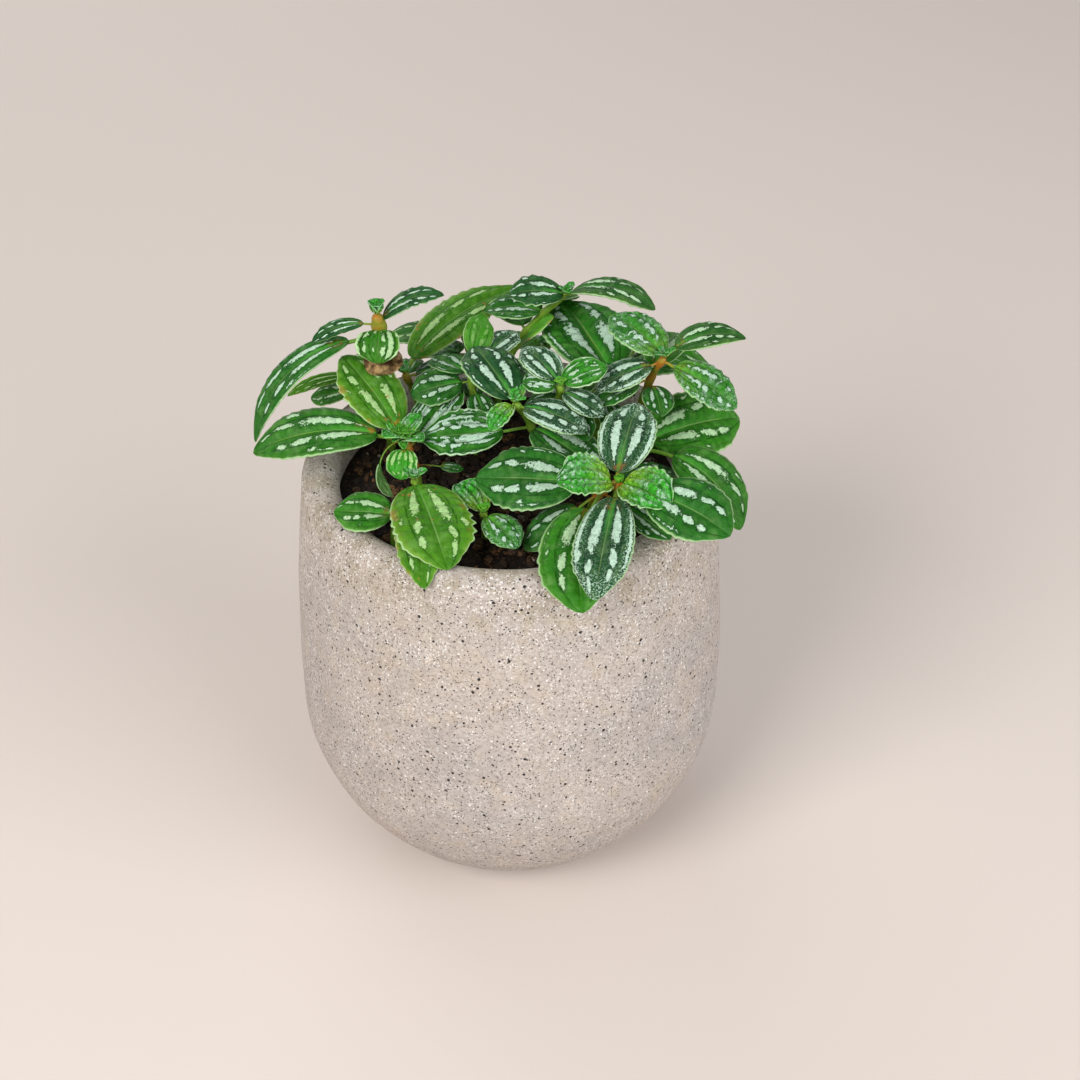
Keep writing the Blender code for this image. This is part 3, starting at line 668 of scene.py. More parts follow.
def pot_outline(pot):
    """Outline of the wall: along the foot, up the outside, over the lip and down the inside to the floor."""
    lip = pot.height - pot.wall / 2
    points = [(0.0, 0.0), (pot.foot_radius / 2, 0.0), (pot.foot_radius - FOOT_BEVEL, 0.0)]
    for step in range(1, BOWL_STEPS + 1):
        height = pot.belly_height * (1.0 - math.cos(math.pi / 2 * step / BOWL_STEPS))
        points.append((bowl_radius(pot, height), height))
    for step in range(1, NECK_STEPS + 1):
        height = pot.belly_height + (lip - pot.belly_height) * step / NECK_STEPS
        points.append((outer_radius(pot, height), height))
    for step in range(1, LIP_STEPS + 1):
        turn = math.pi * step / LIP_STEPS
        radius = pot.rim_radius - pot.wall / 2 * (1 - math.cos(turn))
        points.append((radius, lip + pot.wall / 2 * math.sin(turn)))
    for step in range(NECK_STEPS - 1, 0, -1):
        height = pot.floor + (lip - pot.floor) * step / NECK_STEPS
        points.append((inner_radius(pot, height), height))
    points.append((inner_radius(pot, pot.floor) - FOOT_BEVEL, pot.floor))
    points.append((0.0, pot.floor))
    return points


def roughen(shape):
    """Dents the pot's wall inward by fractions of a millimetre, as hand-cast cement is."""
    for vert in shape.verts:
        reach = vert.co.xy.length
        if vert.co.z < FOOT_BEVEL or reach < DENT_FREE_RADIUS:
            continue
        soft = noise.noise(vert.co / DENT_SIZE)
        fine = noise.noise(vert.co / GRAIN_SIZE)
        depth = DENT_DEPTH * (soft + 1) / 2 + GRAIN_DEPTH * (fine + 1) / 2
        vert.co.xy *= 1 - depth / reach


def cut_drains(pot, piece):
    """Cuts the drain holes through the foot by one Boolean, which is applied."""
    cutters = bpy.data.collections.new("drains")
    bpy.context.scene.collection.children.link(cutters)
    for number in range(DRAIN_COUNT):
        turn = math.radians(DRAIN_FIRST_TURN) + math.tau * number / DRAIN_COUNT
        centre = (DRAIN_CIRCLE * math.cos(turn), DRAIN_CIRCLE * math.sin(turn), pot.floor / 2)
        shape = bmesh.new()
        bmesh.ops.create_cone(shape, cap_ends=True, segments=DRAIN_SIDES, depth=2 * pot.floor,
                              radius1=DRAIN_RADIUS, radius2=DRAIN_RADIUS)
        bmesh.ops.translate(shape, verts=shape.verts, vec=centre)
        cutters.objects.link(bpy.data.objects.new("drain", finished_mesh("drain", shape)))
    modifier = piece.modifiers.new("Drains", "BOOLEAN")
    modifier.operand_type = "COLLECTION"
    modifier.collection = cutters
    graph = bpy.context.evaluated_depsgraph_get()
    cut = bpy.data.meshes.new_from_object(piece.evaluated_get(graph))
    piece.modifiers.clear()
    piece.data = cut
    for cutter in list(cutters.objects):
        bpy.data.objects.remove(cutter, do_unlink=True)
    bpy.data.collections.remove(cutters)
    cut.set_sharp_from_angle(angle=math.radians(SHARP_ANGLE))


def soil_outline(pot):
    """Outline of the soil: out over its gentle dome, down inside the wall and back along the floor."""
    edge = inner_radius(pot, SOIL_LEVEL) - SOIL_GAP
    points = []
    for step in range(SOIL_RINGS + 1):
        share = step / SOIL_RINGS
        points.append((edge * share, SOIL_LEVEL + SOIL_DOME * (1 - share ** 2)))
    for step in range(1, NECK_STEPS):
        height = SOIL_LEVEL + (SOIL_LOW.z - SOIL_LEVEL) * step / NECK_STEPS
        points.append((inner_radius(pot, height) - SOIL_GAP, height))
    points.append((inner_radius(pot, pot.floor) - FOOT_BEVEL - SOIL_GAP, SOIL_LOW.z))
    points.append((0.0, SOIL_LOW.z))
    return points


def soil_rise(place):
    """How far the soil stands above its dome at a place: clods, crumbs between cracks, and grains."""
    clod = noise.noise(place / CLOD_SIZE)
    near = noise.voronoi(place / CRUMB_SIZE)[0]
    grain = noise.noise(place / SOIL_GRAIN_SIZE)
    return CLOD_RISE * clod + CRUMB_RISE * (near[1] - near[0] - CRACK_DEPTH) + SOIL_GRAIN_RISE * grain


def crumble(pot, shape):
    """Raises the soil's top into crumbs, and leaves its edge by the wall lower and even."""
    edge = inner_radius(pot, SOIL_LEVEL)
    for vert in shape.verts:
        if vert.co.z > SOIL_LEVEL - SOIL_GAP:
            fade = min((edge - vert.co.xy.length) / EDGE_FADE, 1.0)
            vert.co.z += soil_rise(Vector((vert.co.x, vert.co.y, 0))) * fade


def add_crumb(shape, layer, spot, size, draw):
    """One loose crumb: a small lumpy ball, half sunk in the soil."""
    finer = 2 if size > FINER_CRUMB else 1
    made = bmesh.ops.create_icosphere(shape, subdivisions=finer, radius=1.0)["verts"]
    shift = Vector((draw.uniform(0, CRUMB_SHIFT), draw.uniform(0, CRUMB_SHIFT), 0))
    squash = Vector([draw.uniform(*limits) for limits in (CRUMB_BREADTH, CRUMB_BREADTH, CRUMB_HEIGHT)])
    kind = (draw.random(), draw.random(), 0.0)
    for vert in made:
        lumpy = 1 + CRUMB_LUMP * noise.noise(vert.co * CRUMB_LUMP_RATE + shift)
        vert.co = spot + vert.co * squash * lumpy * size
        vert[layer] = kind


def crumb_handful(pot, soil, draw, count):
    """A handful of loose crumbs, strewn evenly over the soil."""
    shape = bmesh.new()
    layer = shape.verts.layers.float_vector.new("crumb")
    reach = inner_radius(pot, SOIL_LEVEL) - 2 * soil.crumb
    for _ in range(count):
        spread = reach * math.sqrt(draw.random())
        turn = draw.uniform(0, math.tau)
        size = soil.crumb / 2 * draw.choice(CRUMB_SIZES) * draw.uniform(*CRUMB_SPREAD)
        flat = Vector((spread * math.cos(turn), spread * math.sin(turn), 0))
        dome = SOIL_LEVEL + SOIL_DOME * (1 - (spread / reach) ** 2)
        add_crumb(shape, layer, flat + UP * (dome + soil_rise(flat) + size * CRUMB_LIFT), size, draw)
    return shape


def loose_crumbs(pot, soil):
    """All the loose crumbs, gathered from handfuls, because a small shape grows faster than a big one."""
    whole = bmesh.new()
    draw = random.Random(CRUMB_SEED)
    for _ in range(soil.crumbs // HANDFUL):
        mesh = finished_mesh("handful", crumb_handful(pot, soil, draw, HANDFUL))
        whole.from_mesh(mesh)
        bpy.data.meshes.remove(mesh)
    return whole


def stem_point(shoot, share):
    """A point on the stem: straight up out of the soil, then leaning over to the crown."""
    foot = Vector((*shoot.root, SOIL_LEVEL))
    crown = Vector(shoot.crown)
    bend = Vector((*shoot.root, foot.z + STEM_BEND * (crown.z - foot.z)))
    return foot * (1 - share) ** 2 + bend * 2 * share * (1 - share) + crown * share ** 2


def stem_share(shoot, drop):
    """Where on the stem a node lies that is this far below the crown."""
    return 1.0 - drop / (shoot.crown[2] - SOIL_LEVEL)


def half_width(leaf, share):
    """Half the blade's width at a share of its length: a full oval with a short drawn-out tip."""
    oval = 2 * math.sqrt(max(share * (1 - share), 0.0))
    pinch = TIP_PINCH * max(share - TIP_SHARE, 0.0) / (1 - TIP_SHARE)
    return leaf.width / 2 * oval * (1 - pinch)


def leaf_frame(shoot, leaf, index, along):
    """Midrib point, side vector and upward normal at a distance along the leaf from its stem node."""
    total = leaf.petiole + leaf.blade
    start = math.radians(leaf.pitch + leaf.bend / 2)
    rate = math.radians(leaf.bend) / total
    slope = start - rate * along
    forward = (math.sin(start) - math.sin(slope)) / rate
    rise = (math.cos(slope) - math.cos(start)) / rate
    turn = math.radians(leaf.heading)
    ahead = Vector((math.cos(turn), math.sin(turn), 0))
    left = Vector((-math.sin(turn), math.cos(turn), 0))
    sway = SWAY * math.sin(SWAY_TURN * index) if leaf.sway is None else leaf.sway
    foot = stem_point(shoot, stem_share(shoot, leaf.drop))
    point = foot + ahead * forward + UP * rise + left * (sway * along ** 2 / total)
    tangent = ahead * math.cos(slope) + UP * math.sin(slope) + left * (2 * sway * along / total)
    roll = math.radians(leaf.roll) * min(along / leaf.petiole, 1.0)
    flat_normal = tangent.cross(left).normalized()
    flat_side = flat_normal.cross(tangent).normalized()
    side = flat_side * math.cos(roll) + flat_normal * math.sin(roll)
    normal = flat_normal * math.cos(roll) - flat_side * math.sin(roll)
    return point, side, normal


def tooth(leaf, settings, share, flank):
    """How far the margin stands out at a share of the blade's length: uneven teeth that lean to the tip."""
    place = share * leaf.blade / settings.tooth_spacing + flank * FLANK_SHIFT
    phase = place % 1.0
    form = phase / TOOTH_CREST if phase < TOOTH_CREST else (1 - phase) / (1 - TOOTH_CREST)
    strength = min(max(share - TOOTH_START, 0.0) / (TOOTH_FULL - TOOTH_START), 1.0)
    own = leaf.blade * BLADE_STRIDE
    uneven = 1 + TOOTH_UNEVEN * wave(math.floor(place) * TOOTH_STRIDE + 0.5, flank * FLANK_STRIDE, own)
    swing = MARGIN_WAVE * wave(share * MARGIN_RATE[0], flank * MARGIN_RATE[1], own)
    return settings.tooth_depth * leaf.look.tooth * strength * uneven * (form - 0.5) + swing


def youth(crinkle):
    """How far a blade is a young one, from 0 to 1, by how crinkled it is."""
    return max(crinkle - YOUNG_CRINKLE, 0.0) / (1 - YOUNG_CRINKLE)


def blade_wave(share, across, seed, rate, stride=SEED_STRIDE):
    """Smooth noise from -1 to 1 over a blade, other for each seed."""
    return wave(share * rate[0] + seed * stride[0], across * rate[1], seed * stride[1])


def quilting(leaf, settings, share, out, seed):
    """Rise of the blade as a share of its half width, at a share out from the midrib to the margin."""
    look = leaf.look
    arch = settings.quilt * ARCH_SHARE * math.sin(math.pi * min(out, 1.0))
    if look.ribbed:
        fold = abs(math.sin(math.pi * out * RIBS))
    elif out < SIDE_VEIN:
        fold = math.sin(math.pi * out / SIDE_VEIN)
    else:
        fold = OUTER_FOLD * math.sin(math.pi * (out - SIDE_VEIN) / (1 - SIDE_VEIN))
    young = youth(look.crinkle)
    rungs = leaf.blade / LADDER_SPACING * (1 + YOUNG_RUNGS * young)
    stray = RUNG_STRAY * young * blade_wave(share, out, seed, RUNG_RATE)
    ladder = 0.5 + 0.5 * math.cos(math.tau * (share * rungs - LADDER_SLANT * out + seed + stray))
    puckers = PUCKER * look.crinkle * fold * ladder
    return arch + look.ridge * fold + puckers + MARGIN_RISE * out + look.fold * out


def blade_point(shoot, leaf, index, settings, share, across, seed, frames):
    """A point of the blade's upper face, across from -1 to 1."""
    if share not in frames:
        frames[share] = leaf_frame(shoot, leaf, index, leaf.petiole + leaf.blade * share)
    point, side, normal = frames[share]
    out = abs(across)
    half = half_width(leaf, share)
    reach = 1 + tooth(leaf, settings, share, math.copysign(1 + seed, across)) * out ** TOOTH_REACH
    ripple = blade_wave(share, across, seed, RIPPLE_RATE)
    ripple += FINE_RIPPLE * blade_wave(share, across, seed, FINE_RIPPLE_RATE, FINE_SEED_STRIDE) * out
    wither = max(leaf.look.age - 1, 0.0)
    rise = half * (quilting(leaf, settings, share, out, seed) + (RIPPLE + WITHER * wither) * ripple)
    return point + side * (across * half * reach) + normal * rise


def add_blade(shape, layers, shoot, leaf, index, settings):
    """One blade, finer the bigger it is, with its look kept in attributes."""
    own = ROOT_STRIDE[0] * (shoot.root[0] + ROOT_STRIDE[1] * shoot.root[1])
    number = int((index * LEAF_STRIDE + own) % SEEDS)
    seed = (number + 0.5) / SEEDS
    look = leaf.look
    cell = settings.cell * (1 - YOUNG_FINER * youth(look.crinkle))
    columns = max(LEAST_COLUMNS, round(leaf.blade / cell))
    rows = max(LEAST_ROWS, 2 * round(leaf.width / cell / 2))
    frames = {}

    def place(u, v):
        return blade_point(shoot, leaf, index, settings, u, 2 * v - 1, seed, frames)

    made = bent_grid(shape, columns, rows, place)
    for vert in made:
        vert[layers[0]] = (look.tone, look.silver, look.crinkle)
        vert[layers[1]] = (look.age, seed, leaf.blade / BIG_BLADE)
        vert[layers[2]] = (look.ribbed, shoot.redness, 0.0)
    bmesh.ops.remove_doubles(shape, verts=made, dist=WELD)


def bud_leaves(shoot):
    """The smallest leaves, which stand round the crown's tip, steeper and smaller towards its middle."""
    bud = BUDS.get(shoot.name, BUD)
    leaves = []
    for number in range(bud.count):
        share = number / max(bud.count - 1, 1)
        size = bud.large + (bud.small - bud.large) * share
        heading = shoot.leaves[0].heading + BUD_FIRST_TURN + number * GOLDEN_ANGLE
        pitch = bud.low + (bud.high - bud.low) * share
        sizes = (size, size * BUD_STALK, size * bud.width)
        leaves.append(new_leaf(bud.look, 0, heading, pitch, *sizes, bud.bend))
    return leaves


def add_tube(shape, layer, steps, ring, redness):
    """A closed tube: ring(share) gives its centre, two square directions and its radius."""
    def place(u, v):
        centre, side, other, radius = ring(u)
        turn = v * math.tau
        return centre + (side * math.cos(turn) + other * math.sin(turn)) * radius

    made = bent_grid(shape, steps, TUBE_SIDES, place)
    for vert in made:
        vert[layer] = (redness(vert.co), 0.0, 0.0)


def stem_ring(shoot):
    """The stem from below the soil to its tip, with a slight swelling at each pair of leaves."""
    drops = {stem_share(shoot, leaf.drop) for leaf in shoot.leaves}
    length = shoot.crown[2] - SOIL_LEVEL

    def ring(u):
        share = u * (1 + STEM_DEPTH / length) - STEM_DEPTH / length
        centre = stem_point(shoot, max(share, 0.0)) + UP * min(share, 0.0) * length
        ahead = stem_point(shoot, max(share, 0.0) + STEM_STRIDE) - stem_point(shoot, max(share, 0.0))
        side = ahead.cross(Vector((0, 1, 0))).normalized()
        other = side.cross(ahead).normalized()
        swell = sum(math.exp(-((share - drop) * length / NODE_LENGTH) ** 2) for drop in drops)
        radius = STEM_RADIUS + (shoot.top - STEM_RADIUS) * max(share, 0.0)
        taper = min((1 - u) / STEM_TIP, 1.0) ** 0.5
        return centre, side, other, radius * (1 + NODE_SWELL * min(swell, 1.0)) * taper

    return ring


def stalk_ring(shoot, leaf, index):
    """The petiole, running on under the blade as its midrib."""
    def ring(u):
        along = u * (leaf.petiole + leaf.blade * MIDRIB_REACH)
        point, side, normal = leaf_frame(shoot, leaf, index, along)
        under = min(max(2 * along / leaf.petiole - 1, 0.0), 1.0)
        size = min(max(leaf.blade / BIG_BLADE, STALK_SLIMMEST), 1.0)
        radius = PETIOLE_RADIUS * size * (1 - MIDRIB_TAPER * max(along - leaf.petiole, 0.0) / leaf.blade)
        taper = min((1 - u) / STALK_TIP, 1.0)
        return point - normal * (radius * STALK_SINK * under), side, normal, radius * taper

    return ring


def blade_shape(shoot, leaves, settings):
    """All the blades of one shoot."""
    shape = bmesh.new()
    shape.loops.layers.uv.new("leaf")
    layers = [shape.verts.layers.float_vector.new(name) for name in ("look", "life", "form")]
    for index, leaf in enumerate(leaves):
        add_blade(shape, layers, shoot, leaf, index, settings)
    return shape


def thicken(blades, settings):
    """Gives the blades their thickness, with the underside's own material."""
    modifier = blades.modifiers.new("Thickness", "SOLIDIFY")
    modifier.thickness = settings.thickness
    modifier.offset = -1
    modifier.use_rim = True
    modifier.material_offset = 1


def stem_shape(shoot, leaves):
    """The stem of one shoot with all its leaf stalks."""
    shape = bmesh.new()
    shape.loops.layers.uv.new("leaf")
    layer = shape.verts.layers.float_vector.new("stem")
    nodes = [stem_point(shoot, stem_share(shoot, leaf.drop)) for leaf in leaves]

    def redness(point):
        nearest = min((point - node).length for node in nodes)
        return shoot.redness * math.exp(-(nearest / BLUSH_REACH) ** 2)

    add_tube(shape, layer, STEM_STEPS, stem_ring(shoot), redness)
    for index, leaf in enumerate(leaves):
        add_tube(shape, layer, STALK_STEPS, stalk_ring(shoot, leaf, index), redness)
    bmesh.ops.remove_doubles(shape, verts=shape.verts, dist=WELD)
    bmesh.ops.holes_fill(shape, edges=shape.edges, sides=TUBE_SIDES)
    bmesh.ops.recalc_face_normals(shape, faces=shape.faces)
    return shape


def lay_floor(studio):
    """A wide plain floor under the pot."""
    shape = bmesh.new()
    bmesh.ops.create_grid(shape, x_segments=1, y_segments=1, size=FLOOR_REACH)
    floor = new_object("floor", finished_mesh("floor", shape, [floor_material(studio)]))


def hang_light(name, power, place, size, shade):
    """A large soft square light that faces the plant."""
    lamp = bpy.data.lights.new(name, "AREA")
    lamp.size = size
    lamp.energy = power
    lamp.color = shade
    light = new_object(name, lamp)
    light.location = place
    light.rotation_euler = (Vector(LIGHT_AIM) - Vector(place)).to_track_quat("-Z", "Y").to_euler()


def light_sky(studio):
    """An even pale light from all round."""
    world = bpy.data.worlds.new("studio")
    world.use_nodes = True
    background = world.node_tree.nodes["Background"]
    background.inputs["Color"].default_value = (1.0, 1.0, 1.0, 1.0)
    background.inputs["Strength"].default_value = studio.sky
    bpy.context.scene.world = world


def place_camera(studio):
    """The camera, which looks along +Y and down at the plant."""
    lens = bpy.data.cameras.new("camera")
    lens.lens = studio.lens
    lens.sensor_width = SENSOR_WIDTH
    camera = new_object("camera", lens)
    camera.location = studio.place
    camera.rotation_euler = (math.pi / 2 - studio.tilt, 0.0, 0.0)
    bpy.context.scene.camera = camera


# In the materials a noise takes the size of its clouds in metres, and shares run from 0 to 1
def specks(board, spacing, size, share):
    """Round ragged specks: one in a share of the cells of this spacing, each with its own size."""
    stir = {"Vector": board.place(), "Scale": STIRS_PER_SPECK / spacing}
    stir = board.node("ShaderNodeTexNoise", stir, output="Color")
    stir = board.node("ShaderNodeVectorMath", {0: stir, "Scale": spacing * STIR}, operation="SCALE")
    place = board.node("ShaderNodeVectorMath", (board.place(), stir), operation="ADD")
    cells = {"Vector": place, "Scale": 1 / spacing}
    distance = board.node("ShaderNodeTexVoronoi", cells)
    pick, spread, _ = board.split(board.node("ShaderNodeTexVoronoi", cells, output="Color"))
    radius = (spread * spread * SPECK_SPREAD + SPECK_SMALLEST) * size
    return (distance / radius).rise(*SPECK_EDGE) * board.math("LESS_THAN", pick, share)


def crevices(board, size):
    """Fine lines between the cells that a blade's surface is puckered into: 1 in a line, 0 inside a cell."""
    edge = board.node("ShaderNodeTexVoronoi", {"Vector": board.place(), "Scale": 1 / size},
                      feature="DISTANCE_TO_EDGE")
    return edge.rise(CREVICE_WIDTH, 0.0)


def cement_material(pot):
    """Cast cement: soft clouds, pale flecks, dark grit of several sizes and fine pits."""
    board = Board("speckled_cement", pot.cement_cool, roughness=0.8, Specular_IOR_Level=0.35)
    height = board.split(board.place())[2]
    rim = height.rise(0.085, 0.128)
    clouds = board.noise(0.024, 4)
    streaks = board.noise(0.007, 5)
    board.paint(clouds.rise(0.35, 0.65), pot.cement)
    board.paint((streaks.rise(0.48, 0.72) * 0.6 + rim * 0.35).least(1.0), pot.cement_warm)
    shade = board.noise(0.0010, 5).rise(0.40, 0.64)
    board.shade(shade * 0.5, (0.64, 0.61, 0.58))
    # The top of the wall and the lip are darker and more olive in patches.
    lip_darkening = height.rise(0.112, 0.132) * board.noise(0.007, 5).rise(0.40, 0.62)
    board.shade(lip_darkening * 0.60, (0.60, 0.58, 0.46))
    flecks = board.noise(0.0007, 3, distortion=0.9).rise(0.560, 0.620)
    flecks = flecks * (board.noise(0.008).rise(0.40, 0.60) * 0.6 + rim * 0.3).least(1.0)
    flecks = flecks.most(specks(board, pot.speck * 0.55, 0.20, 0.45))
    board.paint(flecks * 0.75, pot.fleck)
    grit = specks(board, pot.speck, 0.16, 0.75)
    grit = grit.most(specks(board, pot.speck * 0.5, 0.19, 0.75) * 0.95)
    grit = grit.most(specks(board, pot.speck * 0.28, 0.24, 0.70) * 0.75)
    board.paint(grit, pot.grit)
    pits = board.noise(0.0011).rise(0.36, 0.26)
    relief = streaks * 0.3 + board.noise(0.0006) * 0.25 - pits * 0.8 - grit * 0.3
    return board.finish(roughness=0.86 - grit * 0.3, height=relief, distance=0.0003)


def soil_material(soil):
    """Damp potting soil: almost black, with browner grains."""
    board = Board("damp_soil", soil.earth, roughness=0.9, Specular_IOR_Level=0.3)
    grains = board.noise(0.0011, 4)
    board.paint(grains.rise(0.52, 0.80) * 0.7, soil.crumb_brown)
    board.shade(board.noise(0.006, 3).rise(0.45, 0.6), (0.45, 0.42, 0.40))
    return board.finish(height=grains, distance=0.0006)


def crumb_material(soil):
    """Loose crumbs: most as dark as the soil, some reddish brown and a few pale."""
    board = Board("soil_crumbs", soil.earth, roughness=0.85, Specular_IOR_Level=0.3)
    kind, shade, _ = board.attribute("crumb")
    grains = board.noise(0.0006, 4)
    clusters = board.noise(0.010, 1).rise(0.42, 0.60) * 0.85 + 0.15
    brown = kind.rise(0.25, 0.75) * (grains.rise(0.40, 0.60) * 0.85 + 0.15) * clusters
    board.paint(brown, soil.crumb_brown)
    pale = shade.rise(0.90, 0.96) * grains.rise(0.40, 0.60)
    board.paint(pale * 0.6, soil.crumb_pale)
    return board.finish(height=grains, distance=0.0005)


def patch(along, out, centre, length, width, slope, flare=0.0):
    """How far a place lies from the middle of a slanted oval patch, 1 at its edge. A flare widens it."""
    far = (along - centre[0]) / length
    wide = (out - centre[1] - (along - centre[0]) * slope) / width
    if flare:
        wide = wide / (far * flare + 1).most(0.1)
    return (far * far + wide * wide) ** 0.5


class BladePlan:
    """Where things lie on a blade: along it, out from its midrib, and what its attributes say."""

    def __init__(self, board):
        spot = board.split(board.node("ShaderNodeUVMap", uv_map="leaf"))
        across = spot[1] * 2 - 1
        self.along = spot[0]
        self.out = abs(across)
        self.tone, self.silver, self.crinkle = board.attribute("look")
        self.age, self.seed, self.size = board.attribute("life")
        self.ribbed, self.blush, _ = board.attribute("form")
        side = board.math("GREATER_THAN", across, 0.0)
        number = board.math("FLOOR", self.seed * SEEDS)
        self.draws = []
        for turn in range(2):
            place = board.node("ShaderNodeCombineXYZ", (number, side, float(turn)))
            draw = board.node("ShaderNodeTexWhiteNoise", (place,), output="Color", noise_dimensions="3D")
            self.draws += board.split(draw)
        youth = (self.crinkle - YOUNG_CRINKLE).most(0.0) / (1 - YOUNG_CRINKLE)
        steps = self.size * (BIG_BLADE / LADDER_SPACING) * (youth * YOUNG_RUNGS + 1)
        stray = (board.noise(0.0028, 2) - 0.5) * (youth * 2.6 + 0.4)
        phase = self.along * steps - self.out * LADDER_SLANT + self.seed + stray
        self.ladder = board.math("COSINE", phase * math.tau) * 0.5 + 0.5
        length = self.size * BIG_BLADE
        self.flat = board.node("ShaderNodeCombineXYZ",
                               (self.along * length, across * length * COMB_STRETCH, self.seed))


def silver_patches(board, plan):
    """How far a place lies from the silver: streaks at the base, slanted spots to the tip, and bands."""
    along, out, draws = plan.along, plan.out, plan.draws
    ragged = (board.noise(0.0009, 2, at=plan.flat) - 0.5) * 1.5 + (board.noise(0.0004) - 0.5) * 0.8
    rich = plan.silver.rise(0.6, 1.0)
    end = draws[1] * 0.20 + rich * 0.06 + 0.43
    start = draws[0] * 0.06 + 0.09
    streak = patch(along, out, ((start + end) * 0.5, rich * 0.03 + 0.32), (end - start) * 0.5,
                   rich * 0.03 + 0.115, 0.22, 0.45)
    near = patch(along, out, (end + 0.13, 0.42), draws[3] * 0.035 + 0.055, rich * 0.03 + 0.10, 0.7)
    far = patch(along, out, (end + 0.29, 0.47), draws[4] * 0.03 + 0.04, rich * 0.03 + 0.10, 0.7)
    band = patch(along, out, (0.40, 0.86), 0.38, 0.065, 0.0) + (1 - rich) * 0.8 + draws[5] * 0.35
    outer = patch(along, out, (end + 0.05, 0.78), 0.06, 0.09, 0.8) + draws[2] * 0.9
    plain = streak.least(near).least(far).least(band).least(outer)
    stripe = abs(board.math("FRACT", out * RIBS) - 0.5) * ((1 - plan.ribbed) * 12 + 3)
    stripe = stripe + abs(along - 0.5).rise(0.25, 0.45) * 0.8 + board.noise(0.0035).rise(0.45, 0.62) * 1.2
    stripe = stripe + plan.ribbed.rise(0.5, 0.2) * 3
    plain = plain + plan.ribbed.rise(0.85, 1.0) * 2
    broken = (1 - plan.ladder) * plan.crinkle.rise(0.45, 0.75) * (1 - plan.ribbed) * 0.55
    return plain.least(stripe) + ragged + broken


def glints(board, plan):
    """The small pale glints on a young blade's puckers, between its cross veins: partly the blade's own
    silver spots, partly painted highlights on the pucker tops.
    """
    row = abs(board.math("FRACT", plan.out * RIBS) - 0.5).rise(0.46, 0.22)
    clumps = board.noise(0.0026, 3, distortion=0.8).rise(0.47, 0.58)
    fine = board.noise(0.0005, 2).rise(0.34, 0.52) * 0.8 + 0.2
    return clumps * (plan.ladder.rise(0.15, 0.65) * 0.8 + 0.2) * row * fine * plan.along.rise(0.04, 0.30)


def line(value, middle, width):
    """A soft line where a value passes through its middle."""
    return abs(value - middle).rise(width, width * 0.35)


def paint_ground(board, plan, settings):
    """Paints the green between the patches, from blackish to bright, and yellower where the blade is old,
    with painted shade in a young blade's valleys and creases.
    """
    board.paint(plan.tone.rise(-0.05, 0.55), settings.green)
    board.paint(plan.tone.rise(0.50, 1.0), settings.fresh_green)
    clouds = board.noise(0.005, 3)
    yellow = plan.age.least(1.0) * (clouds.rise(0.25, 0.7) * 0.4 + 0.6)
    board.paint(yellow, settings.old_green)
    # Darker mottling: random tone on every blade and, stronger on young blades, painted shade that stands
    # for their puckered valleys.
    mottle_and_valley_shade = board.noise(0.0012, 3).rise(0.35, 0.65)
    young = plan.crinkle.rise(0.6, 1.0)
    board.shade(mottle_and_valley_shade * (young * 0.55 + 0.30), (0.40, 0.58, 0.40))
    base = plan.along.rise(0.60, 0.0) * young
    board.paint(base * 0.80, settings.margin_yellow)
    valley = abs(board.math("FRACT", plan.out * RIBS + 0.5) - 0.5)
    broken = board.noise(0.0020, 2).rise(0.38, 0.60)
    # Painted shade in the creases of young blades: darker in the valleys between the ribs and along the
    # cross veins.
    crease_shade = valley.rise(0.30, 0.08).most(plan.ladder.rise(0.35, 0.0)) * (broken * 0.8 + 0.2)
    board.shade(crease_shade * young * 0.70, (0.20, 0.40, 0.22))
    veins = valley.rise(0.09, 0.03) * young * plan.along.rise(0.8, 0.1)
    board.paint(veins * 0.7, settings.margin_yellow)
    light = board.noise(0.0032, 4).rise(0.54, 0.32) * (1 - young)
    board.paint(light * 0.09, settings.pale_green)
    board.shade(clouds.rise(0.6, 0.35) * 0.4, (0.55, 0.60, 0.50))


